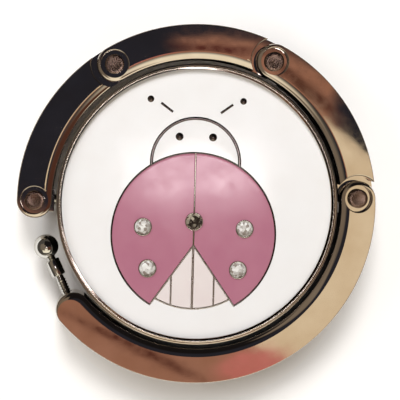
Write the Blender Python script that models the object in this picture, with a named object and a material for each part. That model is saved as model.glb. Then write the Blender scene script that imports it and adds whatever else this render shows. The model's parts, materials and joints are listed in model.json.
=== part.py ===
"""Folding purse hook: an enamelled medallion inside a ring of four linked bars.

The medallion rests on a table edge and the ring opens out into a hook below it. The part
lies on its back, in metres: +Z comes out of the enamel, +X runs to its right and +Y to
its top. The origin is on the table, under the middle of the medallion.
"""

from math import acos, atan2, ceil, cos, hypot, pi, radians, sin, sqrt

import bmesh
import bpy
from mathutils import Matrix, Vector

# Ring of links
RING_RADIUS = 0.0225
LINK_WIDTH = 0.0044
LAYER_THICKNESS = 0.0020
LAP_GAP = 0.0003
RING_LIFT = 0.0017
CREST_DROP = 0.00045
OUTER_CREST_INSET = 0.0003
INNER_CREST_INSET = 0.0009
UNDER_CHAMFER = 0.00025
PIVOT_D_ANGLE = radians(178.2)
PIVOT_A_ANGLE = radians(120.5)
PIVOT_B_ANGLE = radians(61.7)
PIVOT_C_ANGLE = radians(1.9)
HOOK_END_ANGLE = radians(-140)

# Half laps and their stops
LAP_OPENING = radians(85)
STOP_MARGIN = radians(2)

# Rivets
RIVET_RADIUS = 0.0006
RIVET_HEAD_RADIUS = 0.0012
RIVET_FOOT_RADIUS = 0.0010
RIVET_HEAD_HEIGHT = 0.0005
RIVET_HEAD_CHAMFER = 0.00015
RIVET_SINK = 0.00005
COUNTERBORE_RADIUS = 0.0017
TOP_COUNTERBORE_DEPTH = 0.00085
UNDER_COUNTERBORE_DEPTH = 0.0007
PIN_GAP = 0.0001
SEAT_GAP = 0.0003

# Medallion body
BODY_GAP = 0.0005
BODY_LIFT = 0.0008
RIM_WIDTH = 0.0005
RIM_CHAMFER = 0.00015
BACK_CHAMFER = 0.0003
PLATE_FLOOR_HEIGHT = 0.0041

# Lug and swivel between the ring and the medallion
LUG_HALF_WIDTH = 0.00145
LUG_OPENING = radians(40)
STOP_HEEL_ANGLE = radians(215)
SWIVEL_PIN_RADIUS = 0.0007
SWIVEL_HEAD_RADIUS = 0.0009
SWIVEL_HEAD_LENGTH = 0.0006
SWIVEL_POCKET_LENGTH = 0.0018
SWIVEL_PIN_ENTRY = 0.0010

# Grip pad
PAD_BORDER = 0.0031
PAD_RECESS_DEPTH = 0.0010
PAD_GROOVE_PITCH = 0.0022
PAD_GROOVE_WIDTH = 0.0008
PAD_GROOVE_DEPTH = 0.0003
PAD_GROOVES = 3

# Emblem plate and its cells
PLATE_GAP = 0.0001
PLATE_THICKNESS = 0.0010
CELL_DEPTH = 0.0005
PLATE_BORDER = 0.00015
LINE_WIDTH = 0.0003
ENAMEL_GAP = 0.0001
ENAMEL_SINK = 0.00003

# Ladybird's layout about its own axis, as shares of the plate's radius
BUG_SHIFT_SHARE = -0.0147
WINGS_SHARE = 0.603
WINGS_DROP_SHARE = 0.2294
WING_TIP_SPREAD_SHARE = 0.3118
SEAM_END_DROP_SHARE = 0.3059
HEAD_SHARE = 0.3253
HEAD_RISE_SHARE = 0.3059
ABDOMEN_SHARE = 0.5471
BAR_SPACING_SHARE = 0.1588
EYE_SPREAD_SHARE = 0.1235
EYE_RISE_SHARE = 0.4941
FEELER_ROOT_SPREAD_SHARE = 0.1765
FEELER_ROOT_RISE_SHARE = 0.6735
FEELER_END_SPREAD_SHARE = 0.2647
FEELER_END_RISE_SHARE = 0.7382
FEELER_DOT_SPREAD_SHARE = 0.3412
FEELER_DOT_RISE_SHARE = 0.7647
MIDDLE_STONE_DROP_SHARE = 0.1294
UPPER_STONE_SPREAD_SHARE = 0.3765
UPPER_STONE_DROP_SHARE = 0.1765
LOWER_STONE_SPREAD_SHARE = 0.3353
LOWER_STONE_DROP_SHARE = 0.4824

# Ladybird's small metal parts
EYE_RADIUS = 0.0005
FEELER_WIDTH = 0.0003
FEELER_DOT_RADIUS = 0.0004

# Stones
STONE_RADIUS = 0.0010
STONE_TABLE_SHARE = 0.55
STONE_CROWN = 0.00045
STONE_GIRDLE = 0.0001
STONE_PAVILION = 0.00045
STONE_SIDES = 8
STONE_SEAT_WALL = 0.00015
STONE_SEAT_DEPTH = 0.0007

# Ball tip
BALL_RADIUS = 0.00155
BALL_BODY_GAP = 0.0005
BALL_ANGLE = radians(-164.4)
NECK_RADIUS = 0.0005
COLLAR_RADIUS = 0.00088
COLLAR_LENGTH = 0.0022
COLLAR_CHAMFER = 0.0002
NECK_LENGTH = 0.0003
STEM_RADIUS = 0.0006
STEM_BORE_DEPTH = 0.0020

# How far a facet may lie inside its curve, and how far cutters run past what they cut
FACET_SAG = 0.00002
OVERRUN = 0.0005

# Derived levels and radii
RING_INNER = RING_RADIUS - LINK_WIDTH
PIVOT_RADIUS = RING_RADIUS - LINK_WIDTH / 2
LOWER_TOP = RING_LIFT + LAYER_THICKNESS
UPPER_BOTTOM = LOWER_TOP + LAP_GAP
RING_TOP = UPPER_BOTTOM + LAYER_THICKNESS
RING_MIDDLE = (RING_LIFT + RING_TOP) / 2
SWIVEL_HEIGHT = RING_LIFT + LAYER_THICKNESS / 2
LAP_CORNER_DROP = PIVOT_RADIUS * cos((LAP_OPENING + STOP_MARGIN) / 2)
LAP_RADIUS = sqrt(LAP_CORNER_DROP**2 + RING_RADIUS**2 - PIVOT_RADIUS**2) - LAP_CORNER_DROP
LUG_CLEARED_RADIUS = LUG_HALF_WIDTH + SEAT_GAP
BODY_RADIUS = RING_INNER - BODY_GAP
SWIVEL_PIN_END = BODY_RADIUS + SEAT_GAP + SWIVEL_PIN_ENTRY
BODY_TOP = RING_TOP
PLATE_RECESS_RADIUS = BODY_RADIUS - RIM_WIDTH
PAD_RADIUS = BODY_RADIUS - PAD_BORDER
PAD_RECESS_RADIUS = PAD_RADIUS + SEAT_GAP
PAD_RECESS_TOP = BODY_LIFT + PAD_RECESS_DEPTH
PAD_TOP = PAD_RECESS_TOP - SEAT_GAP
PLATE_RADIUS = PLATE_RECESS_RADIUS - PLATE_GAP
BUG_SHIFT = BUG_SHIFT_SHARE * PLATE_RADIUS
WINGS_RADIUS = WINGS_SHARE * PLATE_RADIUS
WINGS_DROP = WINGS_DROP_SHARE * PLATE_RADIUS
WING_TIP_SPREAD = WING_TIP_SPREAD_SHARE * PLATE_RADIUS
SEAM_END_DROP = SEAM_END_DROP_SHARE * PLATE_RADIUS
HEAD_RADIUS = HEAD_SHARE * PLATE_RADIUS
HEAD_RISE = HEAD_RISE_SHARE * PLATE_RADIUS
ABDOMEN_RADIUS = ABDOMEN_SHARE * PLATE_RADIUS
BAR_SPACING = BAR_SPACING_SHARE * PLATE_RADIUS
PLATE_BOTTOM = PLATE_FLOOR_HEIGHT + PLATE_GAP
PLATE_TOP = PLATE_BOTTOM + PLATE_THICKNESS
CELL_FLOOR = PLATE_TOP - CELL_DEPTH
ENAMEL_BOTTOM = CELL_FLOOR + ENAMEL_GAP
ENAMEL_TOP = PLATE_TOP - ENAMEL_SINK
LINE_EDGE = LINE_WIDTH / 2
STONE_BORE_RADIUS = STONE_RADIUS + ENAMEL_GAP
STONE_SEAT_RADIUS = STONE_BORE_RADIUS + STONE_SEAT_WALL
STEM_START = LINK_WIDTH / 2 - STEM_BORE_DEPTH


def polar(radius, angle):
    """Point at this radius and angle."""
    return Vector((radius * cos(angle), radius * sin(angle)))


def facets(radius, angle=2 * pi):
    """Number of facets that keeps an arc within the sag."""
    return max(2, 2 * ceil(abs(angle) / acos(1 - FACET_SAG / radius) / 4))


def arc(centre, radius, start, end, count=None):
    """Points along an arc, both ends included."""
    count = count or facets(radius, end - start)
    return [centre + polar(radius, start + (end - start) * i / count) for i in range(count + 1)]


def circle(centre, radius, count=None):
    """Points round a circle."""
    return arc(centre, radius, 0, 2 * pi, count)[:-1]


def finish(name, colour, roughness, metallic):
    """Material with one Principled BSDF."""
    made = bpy.data.materials.new(name)
    made.use_nodes = True
    shader = made.node_tree.nodes["Principled BSDF"]
    shader.inputs["Base Color"].default_value = (*colour, 1)
    shader.inputs["Roughness"].default_value = roughness
    shader.inputs["Metallic"].default_value = metallic
    made.diffuse_color = (*colour, 1)
    return made


def new_object(name, shape, look=None):
    """Object for a bmesh, smooth shaded, in the scene's collection."""
    bmesh.ops.recalc_face_normals(shape, faces=shape.faces)
    mesh = bpy.data.meshes.new(name)
    shape.to_mesh(mesh)
    shape.free()
    mesh.shade_smooth()
    mesh.set_sharp_from_angle(angle=radians(30))
    made = bpy.data.objects.new(name, mesh)
    bpy.context.scene.collection.objects.link(made)
    if look:
        mesh.materials.append(look)
    return made


def loft(name, sections, look=None):
    """Solid through closed sections of equal point counts, capped at both ends."""
    shape = bmesh.new()
    loops = [[shape.verts.new(point) for point in section] for section in sections]
    count = len(loops[0])
    for below, above in zip(loops, loops[1:]):
        for i in range(count):
            j = (i + 1) % count
            shape.faces.new((below[i], below[j], above[j], above[i]))
    shape.faces.new(list(reversed(loops[0])))
    shape.faces.new(loops[-1])
    return new_object(name, shape, look)


def prisms(name, outlines, bottom, top, look=None):
    """One object of upright prisms, one for each outline."""
    shape = bmesh.new()
    for outline in outlines:
        low = [shape.verts.new((*point, bottom)) for point in outline]
        high = [shape.verts.new((*point, top)) for point in outline]
        shape.faces.new(low)
        shape.faces.new(high)
        for i in range(len(low)):
            j = (i + 1) % len(low)
            shape.faces.new((low[i], low[j], high[j], high[i]))
    return new_object(name, shape, look)


def turned(name, profile, look=None, sides=None):
    """Solid turned about Z from (radius, height) points; it may start and end on the axis."""
    sides = sides or facets(max(radius for radius, _ in profile))
    shape = bmesh.new()
    rings = []
    for radius, height in profile:
        if radius == 0:
            rings.append([shape.verts.new((0, 0, height))] * sides)
        else:
            rings.append([shape.verts.new((*p, height)) for p in circle(Vector((0, 0)), radius, sides)])
    if profile[0][0] != 0:
        rings.append(rings[0])
    for lower, upper in zip(rings, rings[1:]):
        for i in range(sides):
            j = (i + 1) % sides
            corners = dict.fromkeys((lower[i], lower[j], upper[j], upper[i]))
            if len(corners) > 2:
                shape.faces.new(list(corners))
    return new_object(name, shape, look)


def cut(target, cutter):
    """Take the cutter out of the target; the cutter is kept out of the render."""
    cutter.hide_render = True
    cutter.display_type = "WIRE"
    made = target.modifiers.new(cutter.name, "BOOLEAN")
    made.operation = "DIFFERENCE"
    made.object = cutter


class Joint:
    """Empty on a joint's axis, and where it stands."""

    def __init__(self, name, place, parent=None):
        self.place = Vector(place)
        self.empty = bpy.data.objects.new(name, None)
        bpy.context.scene.collection.objects.link(self.empty)
        self.empty.empty_display_size = LINK_WIDTH
        self.empty.location = self.place
        if parent:
            self.empty.parent = parent.empty
            self.empty.location = self.place - parent.place

    def carry(self, *pieces):
        """Hang pieces, with meshes in world places, on this joint's empty."""
        for piece in pieces:
            piece.data.transform(Matrix.Translation(-self.place))
            piece.parent = self.empty


def link_section(start, end, height, outer_inset, inner_inset):
    """Curved bar with round ends, seen from above, at one height."""
    outer = RING_RADIUS - outer_inset
    inner = RING_INNER + inner_inset
    middle = (outer + inner) / 2
    half = (outer - inner) / 2
    centre = Vector((0, 0))
    along = facets(RING_RADIUS, start - end)
    round_end = facets(LINK_WIDTH / 2, pi)
    points = arc(centre, outer, end, start, along)
    points += arc(polar(middle, start), half, start, start + pi, round_end)[1:]
    points += arc(centre, inner, start, end, along)[1:]
    points += arc(polar(middle, end), half, end + pi, end + 2 * pi, round_end)[1:-1]
    return [Vector((*point, height)) for point in points]


def link_bar(name, start, end, look):
    """Whole bar from one pivot to the next, before its laps are cut."""
    sections = [
        link_section(start, end, RING_LIFT, UNDER_CHAMFER, UNDER_CHAMFER),
        link_section(start, end, RING_LIFT + UNDER_CHAMFER, 0, 0),
        link_section(start, end, RING_TOP - CREST_DROP, 0, 0),
        link_section(start, end, RING_TOP - CREST_DROP / 3, OUTER_CREST_INSET / 3, INNER_CREST_INSET / 3),
        link_section(start, end, RING_TOP, OUTER_CREST_INSET, INNER_CREST_INSET),
    ]
    return loft(name, sections, look)


def upright(name, place, radius, bottom, top):
    """Upright round cutter."""
    return prisms(name, [circle(place, radius)], bottom, top)


def rivet_cutters(bar, end_name, angle, is_upper):
    """Rivet hole and the counterbore of one end of a bar."""
    place = polar(PIVOT_RADIUS, angle)
    below, above = RING_LIFT - OVERRUN, RING_TOP + OVERRUN
    hole = upright(f"{end_name}_hole", place, RIVET_RADIUS + PIN_GAP, below, above)
    if is_upper:
        radius, bottom, top = COUNTERBORE_RADIUS, RING_TOP - TOP_COUNTERBORE_DEPTH, above
    else:
        radius, bottom, top = RIVET_FOOT_RADIUS + PIN_GAP, below, RING_LIFT + UNDER_COUNTERBORE_DEPTH
    sink = upright(f"{end_name}_counterbore", place, radius, bottom, top)
    cut(bar, hole)
    cut(bar, sink)
    return [hole, sink]


def upper_lap(bar, name, angle):
    """Round end on the upper layer: the lower layer is cleared round the neighbour's tongue.

    At the full opening the outer corners of the two hollows meet the flanks of the bars.
    """
    cleared = upright(name, polar(PIVOT_RADIUS, angle), LAP_RADIUS, RING_LIFT - OVERRUN, UPPER_BOTTOM)
    cut(bar, cleared)
    return [cleared]


def lower_lap(bar, name, angle):
    """Tongue on the lower layer: the upper layer ends in a hollow round the neighbour's end."""
    cleared = upright(name, polar(PIVOT_RADIUS, angle), LAP_RADIUS, LOWER_TOP, RING_TOP + OVERRUN)
    cut(bar, cleared)
    return [cleared]


def rivet(name, angle, look):
    """Rivet with a chamfered head in each counterbore."""
    top = RING_TOP - RIVET_SINK
    bottom = RING_LIFT + RIVET_SINK
    foot_top = RING_LIFT + UNDER_COUNTERBORE_DEPTH - PIN_GAP
    profile = [
        (0, bottom),
        (RIVET_FOOT_RADIUS - RIVET_HEAD_CHAMFER, bottom),
        (RIVET_FOOT_RADIUS, bottom + RIVET_HEAD_CHAMFER),
        (RIVET_FOOT_RADIUS, foot_top),
        (RIVET_RADIUS, foot_top),
        (RIVET_RADIUS, top - RIVET_HEAD_HEIGHT),
        (RIVET_HEAD_RADIUS, top - RIVET_HEAD_HEIGHT),
        (RIVET_HEAD_RADIUS, top - RIVET_HEAD_CHAMFER),
        (RIVET_HEAD_RADIUS - RIVET_HEAD_CHAMFER, top),
        (0, top),
    ]
    made = turned(name, profile, look)
    made.data.transform(Matrix.Translation((*polar(PIVOT_RADIUS, angle), 0)))
    return made


def in_line(points, angle, centre):
    """Flat points given along a radial line, turned to its angle about a centre."""
    turn = Matrix.Rotation(angle, 2)
    return [centre + turn @ Vector(point) for point in points]


def swivel_block(look):
    """Lug under the first link: a tongue with a stop heel, and a shank towards the medallion."""
    centre = polar(PIVOT_RADIUS, PIVOT_D_ANGLE)
    reach = PIVOT_RADIUS - BODY_RADIUS - SEAT_GAP
    heel = LINK_WIDTH / 2
    origin = Vector((0, 0))
    bite = atan2(LUG_HALF_WIDTH, sqrt(heel**2 - LUG_HALF_WIDTH**2))
    outline = [Vector((reach, LUG_HALF_WIDTH))]
    outline += arc(origin, LUG_HALF_WIDTH, pi / 2, STOP_HEEL_ANGLE)
    outline += arc(origin, heel, STOP_HEEL_ANGLE, 2 * pi - bite)
    outline += [Vector((reach, -LUG_HALF_WIDTH))]
    placed = in_line(outline, PIVOT_D_ANGLE + pi, centre)
    made = prisms("swivel_block", [placed], RING_LIFT, LOWER_TOP, look)
    below, sink_top = RING_LIFT - OVERRUN, RING_LIFT + UNDER_COUNTERBORE_DEPTH
    hole = upright("swivel_block_hole", centre, RIVET_RADIUS + PIN_GAP, below, LOWER_TOP + OVERRUN)
    sink = upright("swivel_block_counterbore", centre, RIVET_FOOT_RADIUS + PIN_GAP, below, sink_top)
    bore_step = (SWIVEL_PIN_RADIUS + PIN_GAP, BODY_RADIUS, SWIVEL_PIN_END + PIN_GAP)
    bore = radial_rod("swivel_block_bore", [bore_step])
    for cutter in (hole, sink, bore):
        cut(made, cutter)
    return [made, hole, sink, bore]


def radial_rod(name, steps, look=None):
    """Turned rod along the swivel axis, from (radius, far, near) steps measured from the middle."""
    profile = []
    for radius, far, near in steps:
        profile += [(radius, far), (radius, near)]
    profile = [(0, profile[0][1]), *profile, (0, profile[-1][1])]
    made = turned(name, profile, look)
    lie = Matrix.Rotation(PIVOT_D_ANGLE, 4, "Z") @ Matrix.Rotation(pi / 2, 4, "Y")
    made.data.transform(Matrix.Translation((0, 0, SWIVEL_HEIGHT)) @ lie)
    return made


def lug_clearance(name):
    """Cutters in the first link's lower layer: round the tongue, beside the lug and past the stop."""
    centre = polar(PIVOT_RADIUS, PIVOT_D_ANGLE)
    far = LINK_WIDTH
    stop = STOP_HEEL_ANGLE - LUG_OPENING - STOP_MARGIN
    beside_lug = [(far, LUG_CLEARED_RADIUS), (0, LUG_CLEARED_RADIUS)]
    wedge = [(0, 0), polar(far, stop), (-far, -far), (far, -far), *beside_lug]
    placed = in_line(wedge, PIVOT_D_ANGLE + pi, centre)
    around = upright(f"{name}_round", centre, LUG_CLEARED_RADIUS, RING_LIFT - OVERRUN, UPPER_BOTTOM)
    beside = prisms(f"{name}_beside", [placed], RING_LIFT - OVERRUN, UPPER_BOTTOM)
    return [around, beside]


def ring_links(nickel):
    """The four bars with their laps and rivet holes, and each bar's cutters."""
    left = link_bar("left_link", PIVOT_D_ANGLE, PIVOT_A_ANGLE, nickel)
    left_cutters = lug_clearance("left_link_lug")
    for cutter in left_cutters:
        cut(left, cutter)
    left_cutters += rivet_cutters(left, "left_link_d", PIVOT_D_ANGLE, True)
    left_cutters += lower_lap(left, "left_link_lap_a", PIVOT_A_ANGLE)
    left_cutters += rivet_cutters(left, "left_link_a", PIVOT_A_ANGLE, False)

    made = {"left_link": [left, *left_cutters]}
    inner_bars = (
        ("top_link", PIVOT_A_ANGLE, PIVOT_B_ANGLE),
        ("right_link", PIVOT_B_ANGLE, PIVOT_C_ANGLE),
    )
    for name, start, end in inner_bars:
        bar = link_bar(name, start, end, nickel)
        cutters = upper_lap(bar, f"{name}_start_lap", start)
        cutters += rivet_cutters(bar, f"{name}_start", start, True)
        cutters += lower_lap(bar, f"{name}_end_lap", end)
        cutters += rivet_cutters(bar, f"{name}_end", end, False)
        made[name] = [bar, *cutters]

    hook = link_bar("hook_link", PIVOT_C_ANGLE, HOOK_END_ANGLE, nickel)
    hook_cutters = upper_lap(hook, "hook_link_start_lap", PIVOT_C_ANGLE)
    hook_cutters += rivet_cutters(hook, "hook_link_start", PIVOT_C_ANGLE, True)
    wide = STEM_RADIUS + PIN_GAP
    floor = STEM_START - PIN_GAP
    bore = stem_rod("hook_link_stem_bore", [(0, floor), (wide, floor), (wide, LINK_WIDTH), (0, LINK_WIDTH)])
    cut(hook, bore)
    made["hook_link"] = [hook, *hook_cutters, bore]
    return made


def stem_line():
    """Middle of the hook's round end, and the line from there to the middle of the ball."""
    base = polar(PIVOT_RADIUS, HOOK_END_ANGLE)
    return base, polar(BODY_RADIUS + BALL_BODY_GAP + BALL_RADIUS, BALL_ANGLE) - base


def stem_rod(name, profile, look=None):
    """Turned piece along the stem, heights measured from the middle of the hook's round end."""
    made = turned(name, profile, look)
    base, line = stem_line()
    lie = Matrix.Rotation(atan2(line.y, line.x), 4, "Z") @ Matrix.Rotation(pi / 2, 4, "Y")
    made.data.transform(Matrix.Translation((*base, RING_MIDDLE)) @ lie)
    return made


def ball_tip(look):
    """Turned stem with a collar, a neck and a ball."""
    reach = stem_line()[1].length
    neck_start = reach - sqrt(BALL_RADIUS**2 - NECK_RADIUS**2)
    collar_end = neck_start - NECK_LENGTH
    collar_start = collar_end - COLLAR_LENGTH
    profile = [
        (0, STEM_START),
        (STEM_RADIUS, STEM_START),
        (STEM_RADIUS, collar_start),
        (COLLAR_RADIUS - COLLAR_CHAMFER, collar_start),
        (COLLAR_RADIUS, collar_start + COLLAR_CHAMFER),
        (COLLAR_RADIUS, collar_end - COLLAR_CHAMFER),
        (COLLAR_RADIUS - COLLAR_CHAMFER, collar_end),
        (NECK_RADIUS, collar_end),
    ]
    first = pi - atan2(NECK_RADIUS, sqrt(BALL_RADIUS**2 - NECK_RADIUS**2))
    count = facets(BALL_RADIUS, first)
    for i in range(count):
        tilt = first * (1 - i / count)
        profile.append((BALL_RADIUS * sin(tilt), reach + BALL_RADIUS * cos(tilt)))
    profile.append((0, reach + BALL_RADIUS))
    return stem_rod("ball_tip", profile, look)


def disc_body(look):
    """Cast body: raised rim round the plate recess, pad recess behind, and the swivel's bore and pocket."""
    profile = [
        (BODY_RADIUS - BACK_CHAMFER, BODY_LIFT),
        (BODY_RADIUS, BODY_LIFT + BACK_CHAMFER),
        (BODY_RADIUS, BODY_TOP - RIM_CHAMFER),
        (BODY_RADIUS - RIM_CHAMFER, BODY_TOP),
        (PLATE_RECESS_RADIUS, BODY_TOP),
        (PLATE_RECESS_RADIUS, PLATE_FLOOR_HEIGHT),
        (0, PLATE_FLOOR_HEIGHT),
        (0, PAD_RECESS_TOP),
        (PAD_RECESS_RADIUS, PAD_RECESS_TOP),
        (PAD_RECESS_RADIUS, BODY_LIFT),
    ]
    made = turned("disc_body", profile, look)
    bore_radius = SWIVEL_PIN_RADIUS + PIN_GAP
    bore = radial_rod("disc_body_bore", [(bore_radius, PAD_RECESS_RADIUS - OVERRUN, BODY_RADIUS + OVERRUN)])
    half = SWIVEL_HEAD_RADIUS + SEAT_GAP
    inner = PAD_RECESS_RADIUS - SWIVEL_POCKET_LENGTH
    corners = [(inner, -half), (PAD_RECESS_RADIUS, -half), (PAD_RECESS_RADIUS, half), (inner, half)]
    placed = in_line(corners, PIVOT_D_ANGLE, Vector((0, 0)))
    pocket_top = SWIVEL_HEIGHT + SWIVEL_HEAD_RADIUS + PIN_GAP
    pocket = prisms("disc_body_pocket", [placed], PAD_RECESS_TOP - OVERRUN, pocket_top)
    cut(made, bore)
    cut(made, pocket)
    return made


def swivel_pin(look):
    """Headed pin, through the medallion's edge into the lug."""
    head_end = PAD_RECESS_RADIUS - PIN_GAP
    head = (SWIVEL_HEAD_RADIUS, head_end - SWIVEL_HEAD_LENGTH, head_end)
    shank = (SWIVEL_PIN_RADIUS, head_end, SWIVEL_PIN_END)
    return radial_rod("swivel_pin", [head, shank], look)


def grip_pad(look):
    """Rubber pad with rings of grip grooves in its underside."""
    profile = [(0, 0)]
    for i in range(PAD_GROOVES):
        inner = PAD_RADIUS - (PAD_GROOVES - i) * PAD_GROOVE_PITCH
        profile += [
            (inner, 0),
            (inner + PAD_GROOVE_WIDTH / 2, PAD_GROOVE_DEPTH),
            (inner + PAD_GROOVE_WIDTH, 0),
        ]
    profile += [(PAD_RADIUS, 0), (PAD_RADIUS, PAD_TOP), (0, PAD_TOP)]
    return turned("grip_pad", profile, look)


def on_bug(spread, rise):
    """Place on the plate, from the ladybird's axis and the middle of the face."""
    return Vector((BUG_SHIFT + spread, rise))


def on_bug_shares(spread_share, rise_share):
    """Place on the plate, given as shares of its radius."""
    return on_bug(spread_share * PLATE_RADIUS, rise_share * PLATE_RADIUS)


def seam_slope():
    """Run and fall of a wing's inner edge, from the seam's end to the wing's tip, as a unit direction."""
    tip_drop = WINGS_DROP + sqrt(WINGS_RADIUS**2 - WING_TIP_SPREAD**2)
    length = hypot(WING_TIP_SPREAD, tip_drop - SEAM_END_DROP)
    return WING_TIP_SPREAD / length, (tip_drop - SEAM_END_DROP) / length


def slope_rise(spread, edge):
    """Height of a wing's inner edge at a spread; a positive edge is on the wing's side of it."""
    run, fall = seam_slope()
    return -SEAM_END_DROP - fall / run * spread + edge / run


def slope_to_circle(edge, radius):
    """Angle about the wings' middle at which a wing's inner edge meets a circle."""
    run, fall = seam_slope()
    height = slope_rise(0, edge) + WINGS_DROP
    distance = height * fall + sqrt(radius**2 - (height * run) ** 2)
    return atan2(height - fall * distance, run * distance)


def mirrored(points, side):
    """The points, or their mirror image in the ladybird's axis."""
    return [on_bug(side * (point.x - BUG_SHIFT), point.y) for point in points]


def wing_outline(side, edge):
    """One wing, set in by an edge from its lines."""
    radius = WINGS_RADIUS - edge
    top = atan2(sqrt(radius**2 - edge**2), edge)
    points = [on_bug(edge, slope_rise(edge, edge))]
    points += arc(on_bug(0, -WINGS_DROP), radius, slope_to_circle(edge, radius), top)
    return mirrored(points, side)


def neck_angles(head_radius, wings_radius):
    """Angles, about the head's middle and the wings', of the point where the two circles meet."""
    apart = HEAD_RISE + WINGS_DROP
    height = (apart**2 + wings_radius**2 - head_radius**2) / (2 * apart)
    half = sqrt(wings_radius**2 - height**2)
    return atan2(height - apart, half), atan2(height, half)


def head_outline(edge):
    """Head above the wings, set in by an edge from its lines."""
    head_radius, wings_radius = HEAD_RADIUS - edge, WINGS_RADIUS + edge
    neck, shoulder = neck_angles(head_radius, wings_radius)
    points = arc(on_bug(0, HEAD_RISE), head_radius, neck, pi - neck)
    points += arc(on_bug(0, -WINGS_DROP), wings_radius, pi - shoulder, shoulder)[1:-1]
    return points


def bug_outline(edge):
    """Whole ladybird but its feelers, let out by an edge from its lines."""
    head_radius, wings_radius = HEAD_RADIUS + edge, WINGS_RADIUS + edge
    neck, shoulder = neck_angles(head_radius, wings_radius)
    middle = on_bug(0, -WINGS_DROP)
    base_radius = ABDOMEN_RADIUS + edge
    base = slope_to_circle(-edge, base_radius)
    tip = slope_to_circle(-edge, wings_radius)
    points = arc(middle, base_radius, pi - base, 2 * pi + base)
    points += arc(middle, wings_radius, tip, shoulder)
    points += arc(on_bug(0, HEAD_RISE), head_radius, neck, pi - neck)[1:-1]
    points += arc(middle, wings_radius, pi - shoulder, pi - tip)
    return points


def abdomen_outline(side, is_outer, edge):
    """One strip of the abdomen, between its axis, a bar and the wing's inner edge."""
    radius = ABDOMEN_RADIUS - edge
    near = BAR_SPACING + edge if is_outer else edge
    start = -acos(near / radius)
    if is_outer:
        end = slope_to_circle(-edge, radius)
        upper = []
    else:
        far = BAR_SPACING - edge
        end = -acos(far / radius)
        upper = [on_bug(far, slope_rise(far, -edge))]
    points = arc(on_bug(0, -WINGS_DROP), radius, start, end) + upper
    points.append(on_bug(near, slope_rise(near, -edge)))
    return mirrored(points, side)


def feeler_outline(side, grow):
    """Short bar of a feeler."""
    root = on_bug_shares(side * FEELER_ROOT_SPREAD_SHARE, FEELER_ROOT_RISE_SHARE)
    end = on_bug_shares(side * FEELER_END_SPREAD_SHARE, FEELER_END_RISE_SHARE)
    along = (end - root).normalized()
    across = Vector((-along.y, along.x)) * (FEELER_WIDTH / 2 + grow)
    root -= along * grow
    end += along * grow
    return [root - across, end - across, end + across, root + across]


def field_islands(grow):
    """What stands in the white field."""
    outlines = [bug_outline(LINE_EDGE + grow)]
    for side in (-1, 1):
        dot = on_bug_shares(side * FEELER_DOT_SPREAD_SHARE, FEELER_DOT_RISE_SHARE)
        outlines += [feeler_outline(side, grow), circle(dot, FEELER_DOT_RADIUS + grow)]
    return outlines


def stone_places():
    """Middle stone, then each pair from left to right."""
    places = [on_bug_shares(0, -MIDDLE_STONE_DROP_SHARE)]
    pairs = (
        (UPPER_STONE_SPREAD_SHARE, UPPER_STONE_DROP_SHARE),
        (LOWER_STONE_SPREAD_SHARE, LOWER_STONE_DROP_SHARE),
    )
    for spread, drop in pairs:
        places += [on_bug_shares(-spread, -drop), on_bug_shares(spread, -drop)]
    return places


def cell_posts(grow):
    """Eyes in the head's cell, and the stones' seats in the wings'."""
    eyes = [on_bug_shares(side * EYE_SPREAD_SHARE, EYE_RISE_SHARE) for side in (-1, 1)]
    outlines = [circle(place, EYE_RADIUS + grow) for place in eyes]
    outlines += [circle(place, STONE_SEAT_RADIUS + grow) for place in stone_places()]
    return outlines


def cell_outlines(edge):
    """Each enamel cell of the ladybird, by name."""
    cells = {
        "enamel_head": head_outline(edge),
        "wing_enamel_left": wing_outline(-1, edge),
        "wing_enamel_right": wing_outline(1, edge),
    }
    strips = ((-1, True), (-1, False), (1, False), (1, True))
    for number, (side, is_outer) in enumerate(strips, 1):
        cells[f"abdomen_enamel_{number}"] = abdomen_outline(side, is_outer, edge)
    return cells


def emblem_plate(look):
    """Struck plate: the cells are sunk in it, and the lines, eyes, feelers and seats stand."""
    profile = [(0, PLATE_BOTTOM), (PLATE_RADIUS, PLATE_BOTTOM), (PLATE_RADIUS, PLATE_TOP), (0, PLATE_TOP)]
    plate = turned("emblem_plate", profile, look)
    field_edge = circle(Vector((0, 0)), PLATE_RADIUS - PLATE_BORDER)
    field = prisms("plate_field_cell", [field_edge], CELL_FLOOR, PLATE_TOP + OVERRUN)
    cut(field, prisms("plate_field_islands", field_islands(0), PLATE_BOTTOM, BODY_TOP))
    cells = prisms("plate_cells", cell_outlines(LINE_EDGE).values(), CELL_FLOOR, PLATE_TOP + OVERRUN)
    cut(cells, prisms("plate_cell_posts", cell_posts(0), PLATE_BOTTOM, BODY_TOP))
    seats = [circle(place, STONE_BORE_RADIUS) for place in stone_places()]
    cut(plate, field)
    cut(plate, cells)
    cut(plate, prisms("plate_stone_seats", seats, PLATE_TOP - STONE_SEAT_DEPTH, PLATE_TOP + OVERRUN))
    return plate


def enamels(looks):
    """Enamel in each cell, clear of the metal all round."""
    edge = circle(Vector((0, 0)), PLATE_RADIUS - PLATE_BORDER - ENAMEL_GAP)
    field = prisms("enamel_field", [edge], ENAMEL_BOTTOM, ENAMEL_TOP, looks["enamel_field"])
    cut(field, prisms("enamel_islands", field_islands(ENAMEL_GAP), PLATE_BOTTOM, BODY_TOP))
    posts = prisms("enamel_posts", cell_posts(ENAMEL_GAP), PLATE_BOTTOM, BODY_TOP)
    for name, outline in cell_outlines(LINE_EDGE + ENAMEL_GAP).items():
        cell = prisms(name, [outline], ENAMEL_BOTTOM, ENAMEL_TOP, looks[name.rstrip("_1234")])
        if not name.startswith("abdomen"):
            cut(cell, posts)


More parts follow.
